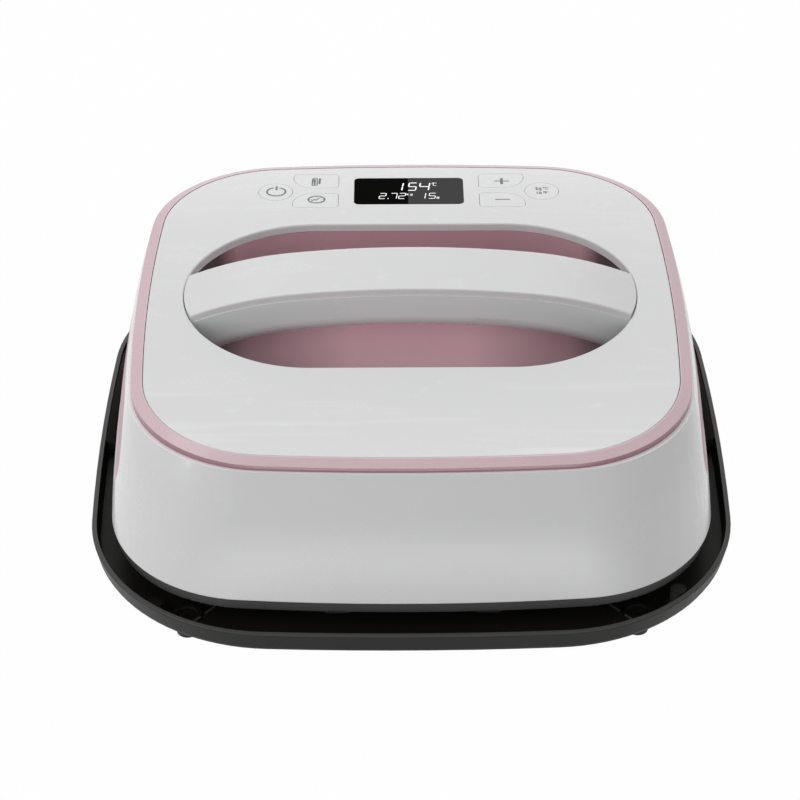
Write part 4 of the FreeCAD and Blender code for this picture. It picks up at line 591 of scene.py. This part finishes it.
def coated_plate(base):
    """Non-stick coating with fine pale specks and faint rubbing along Y."""
    made, tree, shader = new_finish("Non-stick coating", base, 0.4, Specular_IOR_Level=0.6)
    place = object_place(tree)
    specks = spread(tree, noise(tree, place, scale=3200.0, detail=1.0), 0.66, 0.72)
    set_colour(tree, shader, specks, base, lighter(base, 0.35))
    rubbing = use_effect(tree, drawn_lines(), Size=0.6 * MM, Sheen_break=0.05)
    set_roughness(tree, shader, 0.36, rubbing, use_effect(tree, handling_marks(), Amount=0.15))
    set_bump(tree, shader, noise(tree, place, scale=1500.0, detail=3.0), 0.02 * MM)
    return made


def silicone_mat(base):
    """A silicone pad with a pressed diamond pattern."""
    made, tree, shader = new_finish("Silicone mat", base, 0.6)
    turned = stretched(tree, turn=math.radians(45))
    ridges = []
    for axis in ("X", "Y"):
        wave = add_node(tree, "ShaderNodeTexWave", {"Scale": 60.0}, bands_direction=axis, wave_profile="SIN")
        tree.links.new(turned, wave.inputs["Vector"])
        ridges.append(wave.outputs["Fac"])
    layer = use_effect(tree, settled_dust(), Amount=0.25)
    set_colour(tree, shader, layer.outputs["Mask"], base, lighter(base, 0.4))
    set_bump(tree, shader, math_node(tree, "MAXIMUM", *ridges), 0.25 * MM)
    return made


def floor_finish(base):
    """A pale floor that looks white to the camera and bright in what mirrors it close to the press."""
    made, tree, shader = new_finish("Studio floor", base, 0.9)
    set_colour(tree, shader, noise(tree, object_place(tree), scale=8.0), base, dimmed(base, 0.99))
    rays = tree.nodes.new("ShaderNodeLightPath")
    radius = add_node(tree, "ShaderNodeVectorMath", operation="LENGTH")
    tree.links.new(object_place(tree), radius.inputs[0])
    distance = radius.outputs["Value"]
    seen = product(tree, rays.outputs["Is Camera Ray"], FLOOR_SHOWN_WHITE)
    fading = spread(tree, distance, *FLOOR_GLOW_END, to_low=1.0, to_high=FLOOR_GLOW_FAR)
    mirrored = product(tree, rays.outputs["Is Glossy Ray"], fading)
    inner_edge = spread(tree, distance, *PATCH_INNER_EDGE)
    outer_edge = spread(tree, distance, *PATCH_OUTER_EDGE, to_high=PATCH_STRENGTH)
    side_edge = spread(tree, side_distance(tree), *PATCH_SIDE)
    patch = product(tree, inner_edge, outer_edge, side_edge, rays.outputs["Is Glossy Ray"])
    glow = add_node(tree, "ShaderNodeEmission", {"Color": (*WHITE, 1.0)})
    tree.links.new(math_node(tree, "ADD", patch, 1.0), glow.inputs["Strength"])
    mixed = tree.nodes.new("ShaderNodeMixShader")
    sources = math_node(tree, "MAXIMUM", seen, mirrored), shader.outputs[0], glow.outputs[0]
    for place, source in enumerate(sources):
        tree.links.new(source, mixed.inputs[place])
    tree.links.new(mixed.outputs[0], tree.nodes["Material Output"].inputs["Surface"])
    return made


def dress(material, *names):
    """Puts a finish on CAD nodes."""
    for name in names:
        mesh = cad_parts[name].data
        mesh.materials.clear()
        mesh.materials.append(material)


# ---- flat marks, drawn in millimetres round the middle of their window or key ----

# How deep a mark reaches into what it is printed on, and how close two corners lie that become one.
MARK_FOOT = 0.04 * MM
MARK_WELD = 0.002 * MM
# Widths of the printed lines that don't follow the user's own, in millimetres.
FINE_LINE = 0.55
TICK_LINE = 0.45
BROAD_LINE = 1.05


def stroke(points, width):
    """Quads along a line of points, mitred at its corners."""
    spots = [Vector(point) for point in points]
    edges = []
    for place, spot in enumerate(spots):
        before = spot - spots[place - 1] if place else spots[1] - spots[0]
        after = spots[place + 1] - spot if place < len(spots) - 1 else before
        before, after = before.normalized(), after.normalized()
        across = Vector((-(before.y + after.y), before.x + after.x)).normalized()
        reach = width / 2 / max(0.5, across.dot(Vector((-after.y, after.x))))
        edges.append((spot + across * reach, spot - across * reach))
    return [[a, b, d, c] for (a, b), (c, d) in zip(edges, edges[1:])]


def round_point(centre, radius, turn, squash=1.0):
    """A point on a circle, at an angle in degrees; squash flattens the circle."""
    turn = math.radians(turn)
    return centre[0] + radius * math.cos(turn), centre[1] + radius * squash * math.sin(turn)


def arc(centre, radius, start, end, steps, squash=1.0):
    """Points round part of a circle."""
    turns = [start + (end - start) * step / steps for step in range(steps + 1)]
    return [round_point(centre, radius, turn, squash) for turn in turns]


def bar(x, y, half_x, half_y):
    left, right, bottom, top = x - half_x, x + half_x, y - half_y, y + half_y
    return [[(left, bottom), (right, bottom), (right, top), (left, top)]]


def mark(name, polygons, place, material, body, proud):
    """A thin solid from flat polygons round a place, laid on the crowned deck."""
    shape = bmesh.new()
    for polygon in polygons:
        corners = [shape.verts.new(((place[0] + x) * MM, (place[1] + y) * MM, 0.0)) for x, y in polygon]
        shape.faces.new(corners)
    bmesh.ops.remove_doubles(shape, verts=shape.verts, dist=MARK_WELD)
    bmesh.ops.recalc_face_normals(shape, faces=shape.faces)
    for face in shape.faces:
        if face.normal.z < 0:
            face.normal_flip()
    raised = bmesh.ops.extrude_face_region(shape, geom=shape.faces[:])
    for item in raised["geom"]:
        if isinstance(item, bmesh.types.BMVert):
            item.co.z += proud + MARK_FOOT
    for corner in shape.verts:
        corner.co.z += crown_height(corner.co.y) - MARK_FOOT
    bmesh.ops.recalc_face_normals(shape, faces=shape.faces)
    mesh = bpy.data.meshes.new(name)
    shape.to_mesh(mesh)
    shape.free()
    mesh.materials.append(material)
    piece = bpy.data.objects.new(name, mesh)
    bpy.context.scene.collection.objects.link(piece)
    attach(piece, body)
    return piece


# The lit segments of each digit: a is at the top, then b to f follow clockwise, and g is in the middle.
SEGMENTS = {"1": "bc", "2": "abged", "4": "fgbc", "5": "afgcd", "7": "abc"}


def segment_digit(digit, x, y, width, height, thick, slant):
    """The lit segments of one digit, with its left foot at x, y."""
    half, middle, gap = thick / 2, height / 2, thick * 0.16
    rows = {"a": height - half, "g": middle, "d": half}
    columns = {"f": (half, True), "b": (width - half, True), "e": (half, False), "c": (width - half, False)}
    shapes = []
    for part in SEGMENTS[digit]:
        if part in rows:
            level, start, end = rows[part], half + gap, width - half - gap
            outline = [
                (start, level), (start + half, level - half), (end - half, level - half), (end, level),
                (end - half, level + half), (start + half, level + half),
            ]
        else:
            place, upper = columns[part]
            start = (middle if upper else half) + gap
            end = (height - half if upper else middle) - gap
            outline = [
                (place, start), (place + half, start + half), (place + half, end - half), (place, end),
                (place - half, end - half), (place - half, start + half),
            ]
        shapes.append([(x + across + slant * up, y + up) for across, up in outline])
    return shapes


# Each letter as lines in a box of width 1 and height 1.
LETTERS = {
    "C": [[
        (1.0, 0.82), (0.75, 1.0), (0.25, 1.0), (0.0, 0.75),
        (0.0, 0.25), (0.25, 0.0), (0.75, 0.0), (1.0, 0.18),
    ]],
    "F": [[(0.0, 0.0), (0.0, 1.0), (0.95, 1.0)], [(0.0, 0.52), (0.75, 0.52)]],
    "k": [[(0.0, 0.0), (0.0, 1.0)], [(0.8, 0.68), (0.05, 0.3), (0.85, 0.0)]],
    "g": [[(0.85, 0.1), (0.1, 0.1), (0.1, 0.62), (0.85, 0.62), (0.85, -0.25), (0.15, -0.25)]],
    "l": [[(0.3, 0.0), (0.3, 1.0)]],
    "b": [[(0.1, 1.0), (0.1, 0.0), (0.85, 0.0), (0.85, 0.6), (0.1, 0.6)]],
    "s": [[(0.9, 0.62), (0.15, 0.62), (0.15, 0.33), (0.85, 0.33), (0.85, 0.03), (0.1, 0.03)]],
    "o": [arc((0.4, 0.82), 0.24, 0, 360, 12)],
}


def letters(text, x, y, width, height, line, pitch, slant=0.0):
    """Small plain letters for units, drawn as strokes."""
    shapes = []
    for place, letter in enumerate(text):
        left = x + place * pitch
        for path in LETTERS[letter]:
            points = [(left + width * across + slant * height * up, y + height * up) for across, up in path]
            shapes.extend(stroke(points, line))
    return shapes


def temperature_digits(slant):
    """Three tall digits, with the unit at their upper right."""
    foot = 0.3
    shapes = []
    for digit, left, width in (("1", -8.1, 4.9), ("5", -0.8, 4.3), ("4", 4.6, 5.2)):
        shapes += segment_digit(digit, left, foot, width, height=8.0, thick=0.58, slant=slant)
    return shapes + letters("oC", 11.0, 5.2, width=1.5, height=2.7, line=0.22, pitch=0.9, slant=slant)


def force_and_time_digits(slant):
    """The force with its decimal point and its unit, and the seconds to the right of it."""
    foot = -7.7
    shapes = []
    for digit, left in (("2", -14.8), ("7", -9.4), ("2", -5.3), ("1", 4.5), ("5", 9.4)):
        shapes += segment_digit(digit, left, foot, width=3.4, height=5.6, thick=0.38, slant=slant)
    shapes += bar(-10.15, foot + 0.3, half_x=0.26, half_y=0.26)
    shapes += letters("kg", -1.0, -4.2, width=1.1, height=1.9, line=0.2, pitch=1.7, slant=slant)
    return shapes + letters("s", 13.3, foot, width=1.5, height=2.6, line=0.26, pitch=2.0, slant=slant)


def power_sign(line):
    """A ring that is open at the top, with a bar in the opening."""
    return stroke(arc((0.24, 0.35), 4.55, 108, 432, 40, squash=0.89), line) + bar(0.3, 3.9, 0.5, 1.9)


def temperature_sign():
    """A thermometer with its column, and a line beside it."""
    tube = [(-2.0, -4.0), (-1.6, 2.3), *arc((-0.6, 2.3), 1.0, 180, 0, 12), (0.4, 2.3), (0.5, -4.0)]
    foot = [(-2.1, -4.0), (0.6, -4.0)]
    beside = [(1.5, -2.7), (1.8, 2.9)]
    column = bar(-0.7, -0.8, 0.45, 2.7)
    return stroke(tube, FINE_LINE) + stroke(foot, FINE_LINE) + column + stroke(beside, BROAD_LINE)


def timer_sign(line):
    """A clock face with eight ticks and a jagged line across it."""
    centre, squash = (0.5, 0.8), 0.84
    shapes = stroke(arc(centre, 4.0, 0, 360, 40, squash), line * 0.85)
    for turn in range(0, 360, 45):
        ends = [round_point(centre, radius, turn, squash) for radius in (3.0, 3.9)]
        shapes += stroke(ends, TICK_LINE)
    jagged = [(-2.2, 0.6), (-1.2, -0.1), (-0.4, 1.1), (0.3, 0.1), (1.3, 1.8), (2.4, 2.4)]
    return shapes + stroke(jagged, FINE_LINE)


def plus_sign():
    return bar(0.28, -0.5, 3.65, 0.35) + bar(0.3, -0.6, 0.7, 3.0)


def minus_sign():
    return bar(0.2, 0.2, 3.6, 0.36)


def units_sign():
    """Two rows, each with a unit of weight and a unit of temperature to the right of it."""
    upper = letters("kg", -2.6, 1.2, width=1.05, height=2.9, line=0.5, pitch=1.4)
    upper += letters("oC", 0.6, 1.7, width=1.3, height=2.1, line=0.36, pitch=1.4)
    lower = letters("lb", -2.7, -2.7, width=1.2, height=2.1, line=0.5, pitch=1.3)
    lower += letters("oF", 0.6, -2.7, width=1.3, height=2.2, line=0.36, pitch=1.2)
    return upper + lower


# ---- operators ----


class PRESS_OT_shell(Operator):
    """Gives the white shell, the handle and the keys their satin plastic"""

    bl_idname = "press.shell"
    bl_label = "White shell"

    def execute(self, context):
        finish = context.scene.press_finish
        dress(shell_white("White shell", finish.shell, finish), "handle_cover")
        self.dress_deck(finish)
        self.dress_grip(finish)
        self.dress_wall(finish)
        gloss = finish.shell_gloss + 0.04
        keys = moulded("White key", finish.shell, gloss, finish.grain, depth=0.0015 * MM, handling=0.1)
        dress(keys, *nodes_named(end="_button"))
        return {"FINISHED"}

    def dress_deck(self, finish):
        deck = shell_white("White deck", finish.shell, finish)
        strokes = use_effect(deck.node_tree, painted_reflection_strokes(), Amount=0.45).outputs["Mask"]
        # Painted reflections: faint white strokes over the front of the deck.
        dress(overlay(deck, strokes, DECK_REFLECTION_WHITE), "deck_panel")

    def dress_grip(self, finish):
        """The lower half of the handle, with a painted highlight on its upward edge at the seam."""
        grip = shell_white("Handle underside", finish.grip, finish)
        # Painted highlight: white on the upward faces along the seam.
        seam = use_effect(grip.node_tree, upward_faces()).outputs["Mask"]
        dress(overlay(grip, seam, WHITE), "handle_base")

    def dress_wall(self, finish):
        """The side wall, with faint upright painted highlights at its sides and a painted highlight on the
        ledge under the ring.
        """
        wall = shell_white("White wall", finish.shell, finish)
        tree = wall.node_tree
        # Painted highlights: faint upright white streaks towards the wall's sides.
        streaks = noise(tree, stretched(tree, scale=(260.0, 260.0, 9.0)), scale=1.0, detail=1.0)
        far = spread(tree, side_distance(tree), *WALL_HIGHLIGHTS_SIDE, to_high=0.35)
        overlay(wall, product(tree, spread(tree, streaks, 0.58, 0.72), far), WALL_HIGHLIGHT_WHITE)
        # Painted highlight: white on the upward ledge just under the ring.
        upward = use_effect(tree, upward_faces()).outputs["Mask"]
        overlay(wall, product(tree, above(tree, WALL_TOP - 0.5 * MM), upward), WHITE)
        dress(wall, "skirt_shell")


class PRESS_OT_trim(Operator):
    """Gives the ring, the side inlays and the tub their pearly pink"""

    bl_idname = "press.trim"
    bl_label = "Pink trim"

    coat = {"Coat_Weight": 0.35, "Coat_Roughness": 0.06}

    def execute(self, context):
        finish = context.scene.press_finish
        self.dress_ring(finish)
        inlay = pearl("Pink inlay", finish.inlay, 0.55, amount=0.06, Specular_IOR_Level=0.15)
        dress(inlay, "side_inlay_left", "side_inlay_right")
        self.dress_tub(finish)
        return {"FINISHED"}

    def dress_ring(self, finish):
        ring = pearl("Pink ring", finish.trim, 0.27, **self.coat)
        tree = ring.node_tree
        upward = use_effect(tree, upward_faces(), Limit=0.82).outputs["Mask"]
        # Painted shade: deeper pink on the ring's faces that don't look up.
        dress(overlay(ring, math_node(tree, "SUBTRACT", 1.0, upward), finish.trim_wall_shade), "accent_ring")

    def dress_tub(self, finish):
        """The tub, with painted shade to the sides under the handle and a near-black painted shade at its two
        tips.
        """
        tub = pearl("Pink tub", finish.tub, 0.34, amount=0.1, **self.coat)
        tree = tub.node_tree
        side = side_distance(tree)
        front = along(tree, "Y", *TUB_FRONT_Y)
        # Painted shade: half as bright towards the ends, and near-black at the tips.
        overlay(tub, product(tree, spread(tree, side, *TUB_ENDS_SIDE), front), dimmed(finish.tub, 0.5))
        overlay(tub, product(tree, spread(tree, side, *TUB_TIPS_SIDE), front), TUB_TIP_SHADE)
        dress(tub, "handle_tub")


class PRESS_OT_base(Operator):
    """Gives the tray, the black band, the feet and the mat their finishes"""

    bl_idname = "press.base"
    bl_label = "Tray and base"

    def execute(self, context):
        finish = context.scene.press_finish
        self.dress_tray(finish)
        self.dress_band(finish)
        rubber = moulded("Foot rubber", finish.rubber, 0.7, 0.4 * MM, depth=0.02 * MM, handling=0.1, dust=0.1)
        dress(rubber, *nodes_named(start="foot_", but="foot_screws"))
        dress(silicone_mat(finish.mat), "heat_mat")
        return {"FINISHED"}

    def dress_tray(self, finish):
        """The tray, with painted shade inside, and painted highlights on its rim, its front ribs and the
        left-facing side of its tall post.
        """
        tray = moulded(
            "Black tray", finish.tray, 0.42, 0.5 * MM, depth=0.012 * MM, handling=0.1, dust=0.05,
            Specular_IOR_Level=0.12)
        tree = tray.node_tree
        upward = use_effect(tree, upward_faces()).outputs["Mask"]
        inward = use_effect(tree, inward_faces()).outputs["Mask"]
        # Painted shade: the inward faces and the upward faces below the rim go darker.
        low = product(tree, upward, below(tree, TRAY_TOP - 1.0 * MM))
        overlay(tray, math_node(tree, "MAXIMUM", low, inward), finish.tray_shade)
        # Painted highlights: lighter grey on the rim's top, the tops of the front ribs and the left-facing
        # side of the tall post.
        rim = product(tree, upward, above(tree, TRAY_TOP - 0.6 * MM))
        edge = 0.4 * MM
        ribs = product(tree, upward, above(tree, RIB_TOP - edge), below(tree, RIB_TOP + edge))
        front_ribs = product(tree, ribs, along(tree, "Y", *FRONT_RIBS_Y))
        away = add_node(tree, "ShaderNodeVectorMath", {1: TALL_POST}, operation="DISTANCE")
        tree.links.new(object_place(tree), away.inputs[0])
        near = spread(tree, away.outputs["Value"], *TALL_POST_REACH)
        leftward = spread(tree, axis_part(tree, surface_normal(tree), "X"), 0.3, -0.5)
        for highlighted in (rim, front_ribs, product(tree, near, leftward)):
            overlay(tray, highlighted, finish.tray_highlight)
        dress(tray, "tray")

    def dress_band(self, finish):
        band = moulded("Black band", finish.band, 0.4, 0.5 * MM, depth=0.01 * MM, handling=0.1, dust=0.02)
        side = side_distance(band.node_tree)
        # Painted shade: the band goes darker towards its corners.
        corners = spread(band.node_tree, side, *BAND_CORNERS_SIDE, to_high=0.7)
        dress(overlay(band, corners, finish.tray_shade), "base_frame")


class PRESS_OT_insides(Operator):
    """Gives the plate, its stack, the boards and the fasteners their finishes"""

    bl_idname = "press.insides"
    bl_label = "Plate, boards and fasteners"

    # Name, colour, roughness and size of the drawn lines in millimetres, then the nodes.
    metals = (
        ("Element sheath", (0.34, 0.31, 0.27), 0.42, 0.3, ["heating_element"]),
        ("Rolled steel", (0.55, 0.56, 0.57), 0.33, 0.4, ["heat_shield"]),
        ("Stamped steel", (0.60, 0.60, 0.61), 0.28, 0.2,
         [*nodes_named(start="load_cell_"), "thermistor", "thermal_fuse"]),
        ("Turned steel", (0.50, 0.50, 0.51), 0.25, 0.15, ["plate_posts"]),
        ("Zinc-plated screw", (0.58, 0.58, 0.60), 0.3, 0.12, nodes_named(end="_screws", but="foot_screws")),
        ("Blackened screw", (0.045, 0.044, 0.042), 0.45, 0.12, ["foot_screws"]),
    )
    # Name, colour, roughness, size and depth of the grain in millimetres, then the nodes.
    plastics = (
        ("Black housing", (0.02, 0.02, 0.021), 0.45, 0.4, 0.008,
         ["power_relay", "buzzer", "tact_switches", "transformer"]),
        ("Nylon", (0.66, 0.66, 0.62), 0.4, 0.6, 0.005, ["board_standoffs"]),
        ("Green terminal", (0.02, 0.16, 0.06), 0.4, 0.5, 0.005, ["terminal_block"]),
        ("Capacitor sleeve", (0.02, 0.02, 0.045), 0.25, 0.9, 0.004, ["capacitor"]),
        ("Display module", (0.16, 0.17, 0.18), 0.4, 0.5, 0.004, ["lcd_module"]),
        ("Black gland", (0.018, 0.018, 0.019), 0.38, 0.5, 0.01, ["cord_gland", "gland_nut", "cord_clamp"]),
    )

    def execute(self, context):
        dress(coated_plate(context.scene.press_finish.plate), "heating_plate")
        glazed = moulded("Glazed bush", (0.72, 0.69, 0.62), 0.2, 0.8 * MM, depth=0.003 * MM, handling=0.1)
        dress(glazed, "element_terminals")
        dress(flaked_mica(), "mica_sheet")
        dress(felted("Mineral fibre", (0.80, 0.79, 0.75)), "insulation_pad")
        dress(circuit_board("Solder mask", (0.012, 0.085, 0.035)), "control_board", "power_board")
        for name, base, roughness, size, nodes in self.metals:
            dress(drawn_metal(name, base, roughness, size * MM), *nodes)
        for name, base, roughness, size, depth, nodes in self.plastics:
            dress(moulded(name, base, roughness, size * MM, depth * MM), *nodes)
        return {"FINISHED"}


class PRESS_OT_display(Operator):
    """Gives the display its glass and its lit digits"""

    bl_idname = "press.display"
    bl_label = "Display"

    def execute(self, context):
        marks = context.scene.press_marks
        dress(display_glass(), "display_window")
        lit = lit_digit(marks.glow)
        place = middle_of("display_window")
        rows = {
            "temperature_digits": temperature_digits(marks.slant),
            "force_and_time_digits": force_and_time_digits(marks.slant),
        }
        for name, shapes in rows.items():
            mark(name, shapes, place, lit, "press", marks.proud)
        return {"FINISHED"}


class PRESS_OT_signs(Operator):
    """Prints the sign on each key"""

    bl_idname = "press.signs"
    bl_label = "Key signs"

    def execute(self, context):
        marks = context.scene.press_marks
        line = marks.stroke / MM
        ink = moulded("Grey ink", marks.ink, 0.5, 0.3 * MM, depth=0.004 * MM, handling=0.08)
        signs = {
            "power": power_sign(line), "temperature": temperature_sign(), "timer": timer_sign(line),
            "plus": plus_sign(), "minus": minus_sign(), "units": units_sign(),
        }
        for key, shapes in signs.items():
            place = middle_of(key + "_button")
            mark(key + "_sign", shapes, place, ink, key + "_key", marks.proud)
        return {"FINISHED"}


class PRESS_OT_stage(Operator):
    """Sets up the floor, the even sky, the softboxes and the camera"""

    bl_idname = "press.stage"
    bl_label = "Studio"

    # Name, the setting that holds the power, place, what the lamp aims at, and its size, in metres.
    lamps = (
        ("Overhead softbox", "overhead", (-0.1, 0.7, 1.35), PRESS_MIDDLE, (1.4, 0.8)),
        ("Front softbox", "front", (0.0, -1.8, 0.9), PRESS_MIDDLE, (1.6, 0.5)),
        ("Rear softbox", "rear", (0.0, 2.4, 0.75), (0.0, 0.0, 0.10), (1.6, 0.8)),
        ("Left strip", "left", (-1.2, -0.75, 0.7), PRESS_MIDDLE, (0.25, 1.4)),
        ("Right strip", "right", (1.3, -0.3, 0.7), PRESS_MIDDLE, (0.25, 1.4)),
    )
    # Half the floor's width in metres, the sensor in millimetres, and the shift as a part of its width.
    floor_reach = 6.0
    sensor_width = 36.0
    picture_shift = -0.0129

    def execute(self, context):
        studio = context.scene.press_studio
        scene = context.scene
        scene.view_settings.view_transform = "Standard"
        self.lay_floor(studio)
        self.light_sky(scene, studio)
        for name, setting, place, aim, size in self.lamps:
            self.hang_lamp(name, getattr(studio, setting), place, aim, size)
        self.place_camera(scene, studio)
        return {"FINISHED"}

    def lay_floor(self, studio):
        mesh = bpy.data.meshes.new("studio_floor")
        square = ((-1, -1), (1, -1), (1, 1), (-1, 1))
        corners = [(x * self.floor_reach, y * self.floor_reach, 0) for x, y in square]
        mesh.from_pydata(corners, [], [(0, 1, 2, 3)])
        mesh.materials.append(floor_finish(studio.floor))
        floor = bpy.data.objects.new("studio_floor", mesh)
        bpy.context.scene.collection.objects.link(floor)

    def light_sky(self, scene, studio):
        """An even light from all round, behind a plain white that only the camera sees."""
        world = bpy.data.worlds.new("Studio sky")
        scene.world = world
        world.use_nodes = True
        tree = world.node_tree
        even = tree.nodes["Background"]
        even.inputs["Color"].default_value = (*WHITE, 1.0)
        even.inputs["Strength"].default_value = studio.sky
        seen = add_node(tree, "ShaderNodeBackground", {"Color": (*WHITE, 1.0), "Strength": 1.0})
        rays = tree.nodes.new("ShaderNodeLightPath")
        mixed = tree.nodes.new("ShaderNodeMixShader")
        for place, source in enumerate((rays.outputs["Is Camera Ray"], even.outputs[0], seen.outputs[0])):
            tree.links.new(source, mixed.inputs[place])
        tree.links.new(mixed.outputs[0], tree.nodes["World Output"].inputs["Surface"])

    def hang_lamp(self, name, power, place, aim, size):
        lamp = bpy.data.lights.new(name, "AREA")
        lamp.shape = "RECTANGLE"
        lamp.size, lamp.size_y = size
        lamp.energy = power
        hung = bpy.data.objects.new(name, lamp)
        hung.location = place
        hung.rotation_euler = (Vector(aim) - Vector(place)).to_track_quat("-Z", "Y").to_euler()
        bpy.context.scene.collection.objects.link(hung)

    def place_camera(self, scene, studio):
        data = bpy.data.cameras.new("Camera")
        data.lens = studio.lens
        data.sensor_width = self.sensor_width
        data.shift_x = self.picture_shift
        camera = bpy.data.objects.new("Camera", data)
        camera.location = (-studio.camera_side, -studio.camera_back, studio.camera_up)
        camera.rotation_euler = (math.pi / 2 - studio.camera_tilt, 0.0, -studio.camera_turn)
        scene.collection.objects.link(camera)
        scene.camera = camera


class PRESS_PT_panel(Panel):
    """Lists the steps that dress the heat press"""

    bl_label = "Heat Press"
    bl_idname = "PRESS_PT_panel"
    bl_space_type = "VIEW_3D"
    bl_region_type = "UI"
    bl_category = "Heat Press"

    def draw(self, context):
        for step in STEPS:
            self.layout.operator(step.bl_idname)
        scene = context.scene
        for settings in (scene.press_finish, scene.press_marks, scene.press_studio):
            for name in settings.__annotations__:
                self.layout.prop(settings, name)


STEPS = (
    PRESS_OT_stage, PRESS_OT_shell, PRESS_OT_trim, PRESS_OT_base, PRESS_OT_insides, PRESS_OT_display,
    PRESS_OT_signs,
)
GROUPS = (PressFinish, DisplayMarks, StudioSetup)


def register():
    for item in (*GROUPS, *STEPS, PRESS_PT_panel):
        bpy.utils.register_class(item)
    bpy.types.Scene.press_finish = PointerProperty(type=PressFinish)
    bpy.types.Scene.press_marks = PointerProperty(type=DisplayMarks)
    bpy.types.Scene.press_studio = PointerProperty(type=StudioSetup)


def unregister():
    del bpy.types.Scene.press_finish, bpy.types.Scene.press_marks, bpy.types.Scene.press_studio
    for item in (PRESS_PT_panel, *reversed(STEPS), *GROUPS):
        bpy.utils.unregister_class(item)


def main():
    register()
    for step in STEPS:
        group, name = step.bl_idname.split(".")
        getattr(getattr(bpy.ops, group), name)()


if __name__ == "__main__":
    main()
